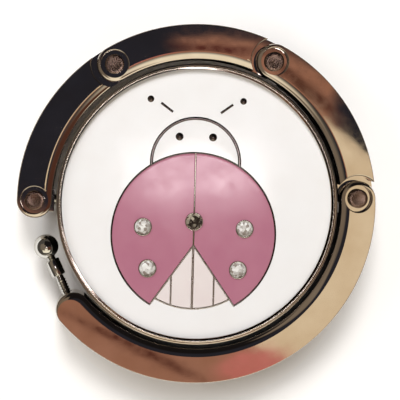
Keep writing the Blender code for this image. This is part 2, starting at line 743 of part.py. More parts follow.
def stones(look):
    """Faceted stones, the girdle level with the enamel."""
    girdle = PLATE_TOP - STONE_GIRDLE
    profile = [
        (0, girdle - STONE_PAVILION),
        (STONE_RADIUS, girdle),
        (STONE_RADIUS, PLATE_TOP),
        (STONE_RADIUS * STONE_TABLE_SHARE, PLATE_TOP + STONE_CROWN),
        (0, PLATE_TOP + STONE_CROWN),
    ]
    for number, place in enumerate(stone_places(), 1):
        made = turned(f"stone_{number}", profile, look, STONE_SIDES)
        made.data.shade_flat()
        made.location = (*place, 0)


def main():
    """Build every piece and hang the moving ones on their joints."""
    for old in list(bpy.data.objects):
        bpy.data.objects.remove(old)

    nickel = finish("polished_nickel", (0.72, 0.68, 0.63), 0.08, 1)
    dark_nickel = finish("rivet_nickel", (0.45, 0.38, 0.33), 0.2, 1)
    chrome = finish("chromed_ball", (0.75, 0.75, 0.72), 0.05, 1)
    rubber = finish("black_rubber", (0.03, 0.03, 0.03), 0.8, 0)
    white = finish("white_enamel", (0.95, 0.93, 0.9), 0.12, 0)
    pink = finish("pink_enamel", (0.6, 0.22, 0.32), 0.12, 0)
    pale = finish("pale_enamel", (0.93, 0.85, 0.86), 0.12, 0)
    crystal = finish("clear_stone", (0.9, 0.92, 0.95), 0.02, 0)

    disc_body(nickel)
    grip_pad(rubber)
    emblem_plate(nickel)
    enamels({
        "enamel_field": white,
        "enamel_head": white,
        "wing_enamel_left": pink,
        "wing_enamel_right": pink,
        "abdomen_enamel": pale,
    })
    stones(crystal)

    swivel = Joint("swivel_axis", (*polar(BODY_RADIUS, PIVOT_D_ANGLE), SWIVEL_HEIGHT))
    swivel.carry(*swivel_block(nickel), swivel_pin(chrome), rivet("rivet_d", PIVOT_D_ANGLE, dark_nickel))

    made = ring_links(nickel)
    made["left_link"].append(rivet("rivet_a", PIVOT_A_ANGLE, dark_nickel))
    made["top_link"].append(rivet("rivet_b", PIVOT_B_ANGLE, dark_nickel))
    made["right_link"].append(rivet("rivet_c", PIVOT_C_ANGLE, dark_nickel))
    made["hook_link"].append(ball_tip(chrome))

    parent = swivel
    angles = (PIVOT_D_ANGLE, PIVOT_A_ANGLE, PIVOT_B_ANGLE, PIVOT_C_ANGLE)
    for (name, pieces), angle in zip(made.items(), angles):
        parent = Joint(f"{name}_pivot", (*polar(PIVOT_RADIUS, angle), RING_MIDDLE), parent)
        parent.carry(*pieces)


main()
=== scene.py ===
"""Dresses the folding purse hook: an enamelled medallion inside a ring of four riveted bars.

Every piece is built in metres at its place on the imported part, whose +Z comes out of the
enamelled face and whose +Y runs to the top of the picture on it.
"""

import json
import logging
from collections.abc import Callable
from dataclasses import dataclass, field
from enum import Enum
from math import asin, atan2, cos, degrees, pi, radians, sin, sqrt

import bpy
from mathutils import Matrix, Vector


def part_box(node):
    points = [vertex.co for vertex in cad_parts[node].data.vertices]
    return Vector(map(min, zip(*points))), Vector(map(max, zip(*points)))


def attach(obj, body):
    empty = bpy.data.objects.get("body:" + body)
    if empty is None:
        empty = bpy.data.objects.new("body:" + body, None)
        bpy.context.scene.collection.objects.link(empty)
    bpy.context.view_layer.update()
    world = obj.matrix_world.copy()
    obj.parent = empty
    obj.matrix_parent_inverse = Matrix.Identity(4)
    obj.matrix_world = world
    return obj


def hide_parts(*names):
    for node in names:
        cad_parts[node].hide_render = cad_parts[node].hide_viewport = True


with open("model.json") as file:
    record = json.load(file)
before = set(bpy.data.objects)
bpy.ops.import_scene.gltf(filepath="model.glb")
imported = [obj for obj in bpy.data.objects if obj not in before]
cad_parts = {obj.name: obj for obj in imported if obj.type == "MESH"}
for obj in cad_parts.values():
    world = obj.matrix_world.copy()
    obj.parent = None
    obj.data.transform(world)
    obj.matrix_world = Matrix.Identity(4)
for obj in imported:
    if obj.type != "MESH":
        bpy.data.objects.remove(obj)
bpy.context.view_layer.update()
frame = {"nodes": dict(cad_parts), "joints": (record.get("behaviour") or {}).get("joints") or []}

logging.basicConfig(level=logging.INFO, format="%(message)s")
log = logging.getLogger("purse_hook")

Piece = bpy.types.Object
Face = bpy.types.MeshPolygon
Finish = bpy.types.Material
Node = bpy.types.Node
Tree = bpy.types.NodeTree
Socket = bpy.types.NodeSocket
Pair = tuple[float, float]

MM = 0.001
OVERRUN = 0.5 * MM
MERGE = 0.002 * MM
ON_PLANE = 0.0001 * MM
FULL_TURN = 2 * pi
QUARTER_TURN = pi / 2
LEVEL_RISE = 0.9
UPRIGHT_RISE = 0.2
WALL_REACH = 0.05 * MM
BEAD_SIDES = 12
BEAD_STEP_DEGREES = 2.5
NOISE_MIDDLE = {"From Min": 0.3, "From Max": 0.7}


class Pick(Enum):
    """What a selection in edit mode holds."""

    POINTS = "vertices"
    EDGES = "edges"
    FACES = "polygons"


class BarEnd(Enum):
    """How one end of a bar meets its neighbour."""

    UPPER_LAP = "round end over the neighbour's tongue"
    LOWER_LAP = "tongue under the neighbour's round end"
    LUG = "round end over the swivel's lug"
    PLAIN = "round end with the ball's stem in it"


class CardShape(Enum):
    """Outline of a card or soft box held over the metal."""

    ROUND = "round"
    SQUARE = "square"


# Modelling helpers


def polar(radius: float, angle: float, height: float = 0.0) -> Vector:
    """Point at this radius, angle and height."""
    return Vector((radius * cos(angle), radius * sin(angle), height))


def start_clean() -> None:
    """Leave edit mode and deselect everything."""
    if bpy.context.object and bpy.context.object.mode != "OBJECT":
        bpy.ops.object.mode_set(mode="OBJECT")
    bpy.ops.object.select_all(action="DESELECT")


def only(piece: Piece) -> None:
    """Make one piece the only selected and the active one.

    Args:
        piece: The piece.
    """
    start_clean()
    piece.select_set(True)
    bpy.context.view_layer.objects.active = piece


def edit(piece: Piece, pick: Pick = Pick.POINTS, test: Callable[..., bool] | None = None) -> None:
    """Open a piece in edit mode with chosen elements selected.

    Args:
        piece: The mesh object to open.
        pick: Whether points, edges or faces are chosen.
        test: Says of one element whether it is chosen; everything is chosen without it.
    """
    only(piece)
    bpy.context.tool_settings.mesh_select_mode = [pick is kind for kind in Pick]
    for kind in Pick:
        group = getattr(piece.data, kind.value)
        group.foreach_set("select", [False] * len(group))
    for item in getattr(piece.data, pick.value):
        item.select = test is None or test(item)
    bpy.ops.object.mode_set(mode="EDIT")


def close_edit() -> None:
    """Go back to object mode."""
    bpy.ops.object.mode_set(mode="OBJECT")


def change(
    piece: Piece,
    operator: Callable[..., set],
    pick: Pick = Pick.POINTS,
    test: Callable[..., bool] | None = None,
    **settings: object,
) -> None:
    """Run one edit-mode operator on chosen elements of a piece.

    Args:
        piece: The piece.
        operator: The operator.
        pick: Whether points, edges or faces are chosen.
        test: Says of one element whether it is chosen; everything is chosen without it.
        **settings: The operator's settings.
    """
    edit(piece, pick, test)
    operator(**settings)
    close_edit()


def modify(piece: Piece, kind: str, **settings: object) -> None:
    """Add one modifier to a piece and apply it.

    Args:
        piece: The piece.
        kind: The modifier's type.
        **settings: The modifier's settings.
    """
    made = piece.modifiers.new(kind.lower(), kind)
    for key, value in settings.items():
        setattr(made, key, value)
    only(piece)
    bpy.ops.object.modifier_apply(modifier=made.name)


def cut(piece: Piece, cutter: Piece) -> None:
    """Cut a piece with another, which is used up."""
    modify(piece, "BOOLEAN", operation="DIFFERENCE", object=cutter)
    bpy.data.objects.remove(cutter)


def smooth(piece: Piece, angle_degrees: float = 32) -> None:
    """Shade a piece smooth, with normals weighted by the faces' areas.

    Args:
        piece: The piece.
        angle_degrees: Angle above which an edge stays sharp.
    """
    only(piece)
    bpy.ops.object.shade_smooth_by_angle(angle=radians(angle_degrees))
    modify(piece, "WEIGHTED_NORMAL", keep_sharp=True)


def tidy_mesh(piece: Piece, threshold: float = MERGE, hole_sides: int | None = None) -> None:
    """Merge doubles and turn the faces outwards.

    Args:
        piece: The piece.
        threshold: How near two points are merged.
        hole_sides: Most sides of a sliver hole that is closed on the way; none is without it.
    """
    edit(piece)
    bpy.ops.mesh.remove_doubles(threshold=threshold)
    if hole_sides:
        bpy.ops.mesh.fill_holes(sides=hole_sides)
    bpy.ops.mesh.normals_make_consistent(inside=False)
    close_edit()


def named_primitive(name: str) -> Piece:
    """Name the primitive that was just added and settle its place in its mesh.

    Args:
        name: The piece's name.

    Returns:
        The piece.
    """
    piece = bpy.context.active_object
    piece.name = name
    piece.data.name = name
    bpy.ops.object.transform_apply(location=True, rotation=True, scale=True)
    return piece


def point_at(name: str, place: Vector) -> Piece:
    """Start a piece as a single point, from a small plane merged at its middle.

    Args:
        name: The piece's name.
        place: Where the point lies.

    Returns:
        The piece, open in edit mode with its point selected.
    """
    start_clean()
    bpy.ops.mesh.primitive_plane_add(size=MM, location=place)
    piece = named_primitive(name)
    edit(piece)
    bpy.ops.mesh.merge(type="CENTER")
    bpy.ops.mesh.select_all(action="SELECT")
    return piece


def extrude(step: Vector | tuple[float, float, float]) -> None:
    """Extrude what is selected by one step."""
    bpy.ops.mesh.extrude_region_move(TRANSFORM_OT_translate={"value": tuple(step)})


def extrude_along(places: list[Vector]) -> None:
    """Extrude the point that is selected, and select the whole line.

    Args:
        places: Where the line runs, from the point on.
    """
    for here, there in zip(places, places[1:]):
        extrude(there - here)
    bpy.ops.mesh.select_all(action="SELECT")


def spin(angle: float, steps: int, centre: Vector) -> None:
    """Spin what is selected about an upright axis, counterclockwise for a positive angle."""
    bpy.ops.mesh.spin(steps=steps, angle=-angle, center=tuple(centre), axis=(0, 0, 1))


def turned(name: str, profile: list[Pair], centre: Vector | None = None, steps: int = 96) -> Piece:
    """Lathe a piece about an upright axis.

    Args:
        name: The piece's name.
        profile: (radius, height) points in metres, closed back to the first when off the axis.
        centre: Where the axis stands; the origin without it.
        steps: Steps of the spin round the full turn.

    Returns:
        The new piece, closed and facing outwards.
    """
    centre = centre or Vector((0, 0, 0))
    points = list(profile)
    if points[0][0] > 0:
        points.append(points[0])
    places = [Vector((centre.x + radius, centre.y, height)) for radius, height in points]
    piece = point_at(name, places[0])
    extrude_along(places)
    spin(FULL_TURN, steps, centre)
    close_edit()
    tidy_mesh(piece)
    return piece


def rod(
    name: str, radius: float, start: float, end: float, centre: Vector | None = None, steps: int = 96
) -> Piece:
    """Turn a plain upright rod from one height to another."""
    return turned(name, [(0, start), (radius, start), (radius, end), (0, end)], centre, steps)


def fillet(corner: Pair, start: float, turn: float, radius: float, steps: int = 4) -> list[Pair]:
    """Points of a rounded corner of a profile.

    Args:
        corner: Middle of the rounding, as radius and height.
        start: Angle at which the rounding starts, in degrees, 0 pointing outwards and 90 up.
        turn: How far it runs, in degrees, counterclockwise when positive.
        radius: Radius of the rounding.
        steps: How many straight steps it has.

    Returns:
        The points, both ends included.
    """
    angles = [radians(start + turn * i / steps) for i in range(steps + 1)]
    return [(corner[0] + radius * cos(a), corner[1] + radius * sin(a)) for a in angles]


def open_bead(
    name: str, place: Vector, turn: float, width: float, rise: float, fill: str = "NOTHING"
) -> Piece:
    """Start a raised metal line as an oval section that stands across its run.

    Args:
        name: The piece's name.
        place: Middle of the section.
        turn: Angle of the section round the upright axis.
        width: Width of the bead.
        rise: How far the bead stands above its middle.
        fill: Whether the section is filled.

    Returns:
        The piece, open in edit mode with its section selected.
    """
    start_clean()
    section = {"vertices": BEAD_SIDES, "radius": width / 2, "fill_type": fill}
    bpy.ops.mesh.primitive_circle_add(**section, location=place, rotation=(QUARTER_TURN, 0, turn))
    piece = named_primitive(name)
    edit(piece)
    bpy.ops.transform.resize(value=(1, 1, 2 * rise / width), center_override=tuple(place))
    return piece


def bead_arc(name: str, centre: Vector, radius: float, span: Pair, width: float, rise: float) -> Piece:
    """Raised metal line along an arc: an oval bead spun about the arc's middle.

    Args:
        name: The piece's name.
        centre: Middle of the arc, at the height of the bead's middle.
        radius: Radius of the arc.
        span: Angles where it starts and ends, in radians.
        width: Width of the bead.
        rise: How far the bead stands above its middle.

    Returns:
        The new piece.
    """
    start, end = span
    piece = open_bead(name, centre + polar(radius, start), start, width, rise)
    spin(end - start, max(8, int(degrees(end - start) / BEAD_STEP_DEGREES)), centre)
    bpy.ops.mesh.select_all(action="SELECT")
    bpy.ops.mesh.fill_holes(sides=0)
    close_edit()
    tidy_mesh(piece)
    return piece


def bead_line(name: str, start: Vector, end: Vector, width: float, rise: float) -> Piece:
    """Raised metal line along a straight run: an oval bead extruded from one end to the other.

    Args:
        name: The piece's name.
        start: One end, at the height of the bead's middle.
        end: The other end.
        width: Width of the bead.
        rise: How far the bead stands above its middle.

    Returns:
        The new piece.
    """
    along = end - start
    piece = open_bead(name, start, atan2(along.y, along.x) - QUARTER_TURN, width, rise, "NGON")
    extrude(along)
    close_edit()
    tidy_mesh(piece)
    return piece


def dome(name: str, place: Vector, radius: float, rise: float) -> Piece:
    """Small raised stud: a sphere pressed flat and cut off just below its middle.

    Args:
        name: The piece's name.
        place: Middle of the sphere.
        radius: Radius of the stud.
        rise: How far it stands above its middle.

    Returns:
        The new piece.
    """
    start_clean()
    bpy.ops.mesh.primitive_uv_sphere_add(segments=24, ring_count=12, radius=radius, location=place)
    piece = named_primitive(name)
    edit(piece)
    bpy.ops.transform.resize(value=(1, 1, rise / radius), center_override=tuple(place))
    bpy.ops.mesh.select_all(action="SELECT")
    foot = (place.x, place.y, place.z - 0.2 * rise)
    keep = {"use_fill": True, "clear_inner": True, "threshold": ON_PLANE}
    bpy.ops.mesh.bisect(plane_co=foot, plane_no=(0, 0, 1), **keep)
    close_edit()
    tidy_mesh(piece)
    return piece


def join(name: str, pieces: list[Piece]) -> Piece:
    """Join pieces into one object.

    Args:
        name: The joined piece's name.
        pieces: The pieces, of which the first takes up the others.

    Returns:
        The joined piece.
    """
    start_clean()
    for piece in pieces:
        piece.select_set(True)
    bpy.context.view_layer.objects.active = pieces[0]
    bpy.ops.object.join()
    pieces[0].name = name
    pieces[0].data.name = name
    return pieces[0]


def hold(name: str, data: bpy.types.ID) -> Piece:
    """Put a mesh, a lamp or a camera into the scene.

    Args:
        name: The object's name.
        data: The mesh, lamp or camera.

    Returns:
        The new object.
    """
    made = bpy.data.objects.new(name, data)
    bpy.context.scene.collection.objects.link(made)
    return made


def copy_of(piece: Piece, name: str, step: Vector | None = None) -> Piece:
    """Copy a piece with its own mesh.

    Args:
        piece: The piece to copy.
        name: The copy's name.
        step: How far the copy is moved in its mesh.

    Returns:
        The copy.
    """
    made = hold(name, piece.data.copy())
    made.data.name = name
    if step:
        change(made, bpy.ops.transform.translate, value=tuple(step))
    return made


def place_piece(piece: Piece, finish: Finish, body: str, slot: str, *nodes: str) -> None:
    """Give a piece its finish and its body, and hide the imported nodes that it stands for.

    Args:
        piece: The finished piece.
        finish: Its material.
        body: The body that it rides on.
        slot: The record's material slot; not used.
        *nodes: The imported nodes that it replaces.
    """
    piece.data.materials.clear()
    piece.data.materials.append(finish)
    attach(piece, body)
    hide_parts(*nodes)
    log.info("%s: %d faces on %s", piece.name, len(piece.data.polygons), body)


def second_finish(piece: Piece, finish: Finish, test: Callable[[Face], bool]) -> None:
    """Give the faces that a test picks another finish.

    Args:
        piece: The piece.
        finish: The second material.
        test: Says of one face whether it takes the second material.
    """
    piece.data.materials.append(finish)
    for face in piece.data.polygons:
        face.material_index = int(test(face))


# Finishes


def linear(code: str, strength: float = 1.0) -> tuple[float, float, float, float]:
    """Linear colour of an sRGB hex value.

    Args:
        code: The hex value, without a mark before it.
        strength: What the colour is multiplied by.

    Returns:
        The linear red, green and blue, and the strength.
    """
    parts = [int(code[i : i + 2], 16) / 255 for i in (0, 2, 4)]
    curve = [c / 12.92 if c <= 0.04045 else ((c + 0.055) / 1.055) ** 2.4 for c in parts]
    return (curve[0] * strength, curve[1] * strength, curve[2] * strength, strength)


def feed(tree: Tree, node: Node, inputs: dict) -> None:
    """Set or link inputs of a shader node.

    Args:
        tree: The node tree that it is in.
        node: The node.
        inputs: Values or sockets by the input's name or number.
    """
    for key, value in inputs.items():
        if isinstance(value, Socket):
            tree.links.new(value, node.inputs[key])
        else:
            node.inputs[key].default_value = value


def add_node(tree: Tree, kind: str, settings: dict | None = None, inputs: dict | None = None) -> Node:
    """Add a shader node with its settings and what feeds it.

    Args:
        tree: The node tree it goes into.
        kind: The node's type, without the words that all of them start with.
        settings: Properties of the node by name.
        inputs: Values or sockets by the input's name or number.

    Returns:
        The new node.
    """
    node = tree.nodes.new(f"ShaderNode{kind}")
    for key, value in (settings or {}).items():
        setattr(node, key, value)
    feed(tree, node, inputs or {})
    return node


def new_material(name: str) -> tuple[Finish, Tree, Node]:
    """Start a node material.

    Args:
        name: The material's name.

    Returns:
        The material, its tree and its Principled shader.
    """
    made = bpy.data.materials.new(name)
    made.use_nodes = True
    return made, made.node_tree, made.node_tree.nodes["Principled BSDF"]


def grain(
    tree: Tree,
    size_mm: float,
    detail: float = 2.0,
    span: Pair | None = None,
    stretch: tuple[float, float, float] = (1, 1, 1),
) -> Socket:
    """Noise with grains of a real size, on the object's own coordinates.

    Args:
        tree: The node tree it goes into.
        size_mm: Size of one grain in millimetres.
        detail: Finer octaves on top.
        span: Values that the noise's middle is spread over; the plain noise without it.
        stretch: How much longer the grain is along each axis.

    Returns:
        The noise's factor, or the value in the span.
    """
    place = add_node(tree, "TexCoord").outputs["Object"]
    drawn = add_node(tree, "Mapping", {}, {"Vector": place, "Scale": tuple(1 / s for s in stretch)})
    settings = {"Vector": drawn.outputs[0], "Scale": 1 / (size_mm * MM), "Detail": detail}
    noise = add_node(tree, "TexNoise", {}, settings).outputs[0]
    if span is None:
        return noise
    spread = {"Value": noise, **NOISE_MIDDLE, "To Min": span[0], "To Max": span[1]}
    return add_node(tree, "MapRange", {}, spread).outputs[0]


def mottled(tree: Tree, size_mm: float, detail: float, first: str, second: str) -> Socket:
    """Colour that drifts between two sRGB hex values in patches of a real size."""
    colours = {0: grain(tree, size_mm, detail, (0, 1)), 6: linear(first), 7: linear(second)}
    return add_node(tree, "Mix", {"data_type": "RGBA"}, colours).outputs[2]


@dataclass(frozen=True)
class PlatedMetal:
    """Bright electroplate over a polished zinc casting or a turned part.

    The polish mirrors the studio; the plate's slow waves bend those reflections, and faint
    handling haze makes them softer in patches.
    """

    name: str
    clean: str
    dulled: str
    roughness: Pair
    wave_mm: float = 2.2
    wave_height_mm: float = 0.0035
    scratch_mm: float = 0.12
    scratch_depth_mm: float = 0.0001
    scratch_strength: float = 0.5
    patch_mm: float = 4.0
    haze_mm: float = 1.3

    def material(self) -> Finish:
        """Build the plated metal.

        Returns:
            The material.
        """
        made, tree, shader = new_material(self.name)
        # Polishing marks are finer than a pixel, so they are drawn 0.12 mm wide or more
        fine = {
            "Height": grain(tree, self.scratch_mm, 1.0, stretch=(6, 1, 1)),
            "Distance": self.scratch_depth_mm * MM,
            "Strength": self.scratch_strength,
        }
        slow = {
            "Height": grain(tree, self.wave_mm, 0.0),
            "Distance": self.wave_height_mm * MM,
            "Strength": 1.0,
            "Normal": add_node(tree, "Bump", {}, fine).outputs[0],
        }
        surface = {
            "Base Color": mottled(tree, self.patch_mm, 2.0, self.clean, self.dulled),
            "Metallic": 1.0,
            "Roughness": grain(tree, self.haze_mm, 4.0, self.roughness),
            "Normal": add_node(tree, "Bump", {}, slow).outputs[0],
        }
        feed(tree, shader, surface)
        return made


@dataclass(frozen=True)
class PouredEnamel:
    """Soft enamel poured into a struck cell and cured glossy.

    The pigment settles a little unevenly, and the surface keeps a slight orange peel under its gloss.
    """

    name: str
    body: str
    settled: str
    cloud_mm: float = 5.0
    peel_mm: float = 1.6
    peel_height_mm: float = 0.0015
    haze_mm: float = 2.0
    gloss: Pair = (0.05, 0.12)
    ior: float = 1.53

    def material(self) -> Finish:
        """Build the enamel.

        Returns:
            The material.
        """
        made, tree, shader = new_material(self.name)
        peel = {
            "Height": grain(tree, self.peel_mm, 1.0),
            "Distance": self.peel_height_mm * MM,
            "Strength": 1.0,
        }
        surface = {
            "Base Color": mottled(tree, self.cloud_mm, 3.0, self.body, self.settled),
            "Roughness": grain(tree, self.haze_mm, 4.0, self.gloss),
            "IOR": self.ior,
            "Normal": add_node(tree, "Bump", {}, peel).outputs[0],
        }
        feed(tree, shader, surface)
        return made


@dataclass(frozen=True)
class MouldedRubber:
    """Black nitrile rubber, moulded against a blasted tool, which gives it a dry, fine grain."""

    name: str = "nitrile_rubber_moulded"
    body: str = "262524"
    dusty: str = "3A3836"
    dust_mm: float = 3.5
    grain_mm: float = 0.25
    grain_depth_mm: float = 0.02
    grain_strength: float = 0.6
    haze_mm: float = 1.0
    dryness: Pair = (0.55, 0.75)
    ior: float = 1.52

    def material(self) -> Finish:
        """Build the rubber.

        Returns:
            The material.
        """
        made, tree, shader = new_material(self.name)
        texture = {
            "Height": grain(tree, self.grain_mm),
            "Distance": self.grain_depth_mm * MM,
            "Strength": self.grain_strength,
        }
        surface = {
            "Base Color": mottled(tree, self.dust_mm, 5.0, self.body, self.dusty),
            "Roughness": grain(tree, self.haze_mm, 3.0, self.dryness),
            "IOR": self.ior,
            "Normal": add_node(tree, "Bump", {}, texture).outputs[0],
        }
        feed(tree, shader, surface)
        return made


@dataclass(frozen=True)
class CutCrystal:
    """Machine-cut lead glass with a foiled back: sharp facets that split the light into bright and dark.

    The foil throws light back from the facets behind, some bright and some dark. Patches of a facet's size
    paint these as reflections, bright and dark, into the colour of the share of the glass that is not clear.
    """

    name: str
    tint_and_glint: str
    shade: str
    clear_share: float
    ior: float = 1.58
    facet_mm: float = 0.34
    mark_mm: float = 0.3
    wear: Pair = (0.0, 0.04)

    def material(self) -> Finish:
        """Build the crystal.

        Returns:
            The material.
        """
        made, tree, shader = new_material(self.name)
        place = add_node(tree, "TexCoord").outputs["Object"]
        # Painted reflections: facet-sized patches of glint and shade from the foil, mixed into the base
        # colour
        cells = add_node(tree, "TexVoronoi", {}, {"Vector": place, "Scale": 1 / (self.facet_mm * MM)})
        share = add_node(tree, "MapRange", {}, {"Value": cells.outputs["Color"], **NOISE_MIDDLE}).outputs[0]
        colours = {0: share, 6: linear(self.shade), 7: linear(self.tint_and_glint)}
        surface = {
            "Base Color": add_node(tree, "Mix", {"data_type": "RGBA"}, colours).outputs[2],
            "IOR": self.ior,
            "Transmission Weight": self.clear_share,
            # Fine handling marks on the crown, coarser than the real ones so that they show
            "Roughness": grain(tree, self.mark_mm, 3.0, self.wear),
        }
        feed(tree, shader, surface)
        return made


class Finishes:
    """Every finish of the hook, built once."""

    def __init__(self) -> None:
        """Build the materials."""
        self.nickel = PlatedMetal(
            "nickel_plate_polished", "DAD3CA", "CFC5B8", (0.02, 0.05), 2.6, 0.0018
        ).material()
        # Painted shade: a near-black, duller nickel on the walls deep in the narrow gap round the medallion,
        # where shade falls
        self.gap_shade_nickel = PlatedMetal("nickel_plate_thin", "201E1C", "181614", (0.45, 0.6)).material()
        self.rivet = PlatedMetal(
            "nickel_plate_dulled", "A08C80", "8A766A", (0.16, 0.28), 2.2, 0.001, 0.3
        ).material()
        self.steel = PlatedMetal("steel_turned", "BDBAB5", "A5A19B", (0.2, 0.32)).material()
        self.chrome = PlatedMetal(
            "chrome_plate_turned", "DCDCD8", "CFCEC8", (0.03, 0.08), 1.2, 0.001
        ).material()
        self.line = PlatedMetal(
            "nickel_plate_darkened", "7C7472", "665F5D", (0.05, 0.1), 2.2, 0.001
        ).material()
        self.satin = PlatedMetal("nickel_plate_satin", "DAD6D4", "C6C1BE", (0.24, 0.34)).material()
        self.foil = PlatedMetal("silver_foil_pressed", "EDEBE6", "D8D4CC", (0.02, 0.06)).material()
        self.rubber = MouldedRubber().material()
        self.white = PouredEnamel("enamel_white_poured", "F4F4F5", "F1F0F0").material()
        self.pink = PouredEnamel("enamel_pink_poured", "B77A8D", "B17287").material()
        self.pale = PouredEnamel("enamel_pale_poured", "EBE3E1", "E6DAD9").material()
        self.crystal = CutCrystal("crystal_clear_cut", "FFFEFB", "A0968C", clear_share=0.16).material()
        self.smoky_crystal = CutCrystal("crystal_smoky_cut", "E6DBC4", "3B322A", clear_share=0.5).material()


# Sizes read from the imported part


def joint_place(name: str) -> Vector:
    """Where a joint stands, in metres."""
    return Vector(next(joint["pos_m"] for joint in frame["joints"] if joint["name"] == name))


def pivot_angle(joint: str) -> float:
    """Angle of a pivot round the ring."""
    place = joint_place(joint)
    return atan2(place.y, place.x)


@dataclass(frozen=True)
class RingSizes:
    """Common sizes of the ring's bars, taken from the frame."""

    radius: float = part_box("hook_link")[1].x
    lift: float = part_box("hook_link")[0].z
    top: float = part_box("hook_link")[1].z
    lap_gap: float = 0.3 * MM
    pivot: float = joint_place("hook_pivot").xy.length
    lap_radius: float = 2.909 * MM
    crest_drop: float = 0.3 * MM
    outer_inset: float = 0.16 * MM
    inner_inset: float = 1.1 * MM
    under_chamfer: float = 0.25 * MM

    @property
    def half(self) -> float:
        """Half the width of a bar."""
        return self.radius - self.pivot

    @property
    def inner(self) -> float:
        """Radius of the ring's inside."""
        return self.pivot - self.half

    @property
    def middle(self) -> float:
        """Height of the ring's middle."""
        return (self.lift + self.top) / 2

    @property
    def lower_top(self) -> float:
        """Top of the lower layer."""
        return self.middle - self.lap_gap / 2

    @property
    def upper_bottom(self) -> float:
        """Underside of the upper layer."""
        return self.middle + self.lap_gap / 2

    @property
    def below(self) -> float:
        """Height just under the ring, where a cutter starts or ends."""
        return self.lift - OVERRUN

    @property
    def above(self) -> float:
        """Height just over the ring, where a cutter ends."""
        return self.top + OVERRUN


RING = RingSizes()


# The ring


def flared_well(
    radius: float, floor: float, lip: float, turns: tuple[float, ...], centre: Vector, steps: int
) -> Piece:
    """Cutter for a round well in the ring's top, with a rounded lip.

    Args:
        radius: Radius of the well.
        floor: Height of its floor.
        lip: Radius of the lip's rounding.
        turns: Angles of the lip's points.
        centre: Axis of the well.
        steps: Steps round the full turn.

    Returns:
        The cutter.
    """
    edge = RING.top - lip
    flare = [(radius + lip * (1 - cos(a)), edge + lip * sin(a)) for a in turns]
    profile = [(0, floor), (radius, floor), *flare, (radius + lip, RING.above), (0, RING.above)]
    return turned("well_cutter", profile, centre, steps)


@dataclass
class RivetSeat:
    """Counterbore and hole that a rivet sits in."""

    hole: float = 0.7 * MM
    counterbore: float = 1.7 * MM
    top_depth: float = 0.85 * MM
    under_radius: float = 1.1 * MM
    under_depth: float = 0.7 * MM
    lip: float = 0.12 * MM
    lip_turns: tuple[float, ...] = (0, 0.5, 1.0, QUARTER_TURN)

    def sink(self, bar: Piece, centre: Vector, from_top: bool) -> None:
        """Sink the seat into one end of a bar.

        Args:
            bar: The bar that is cut.
            centre: Axis of the rivet.
            from_top: Whether this end carries the head's counterbore or the foot's.
        """
        if from_top:
            floor = RING.top - self.top_depth
            well = flared_well(self.counterbore, floor, self.lip, self.lip_turns, centre, 48)
        else:
            ceiling = RING.lift + self.under_depth
            well = rod("seat_cutter", self.under_radius, ceiling, RING.below, centre, 48)
        cut(bar, well)
        cut(bar, rod("hole_cutter", self.hole, RING.below, RING.above, centre, 32))


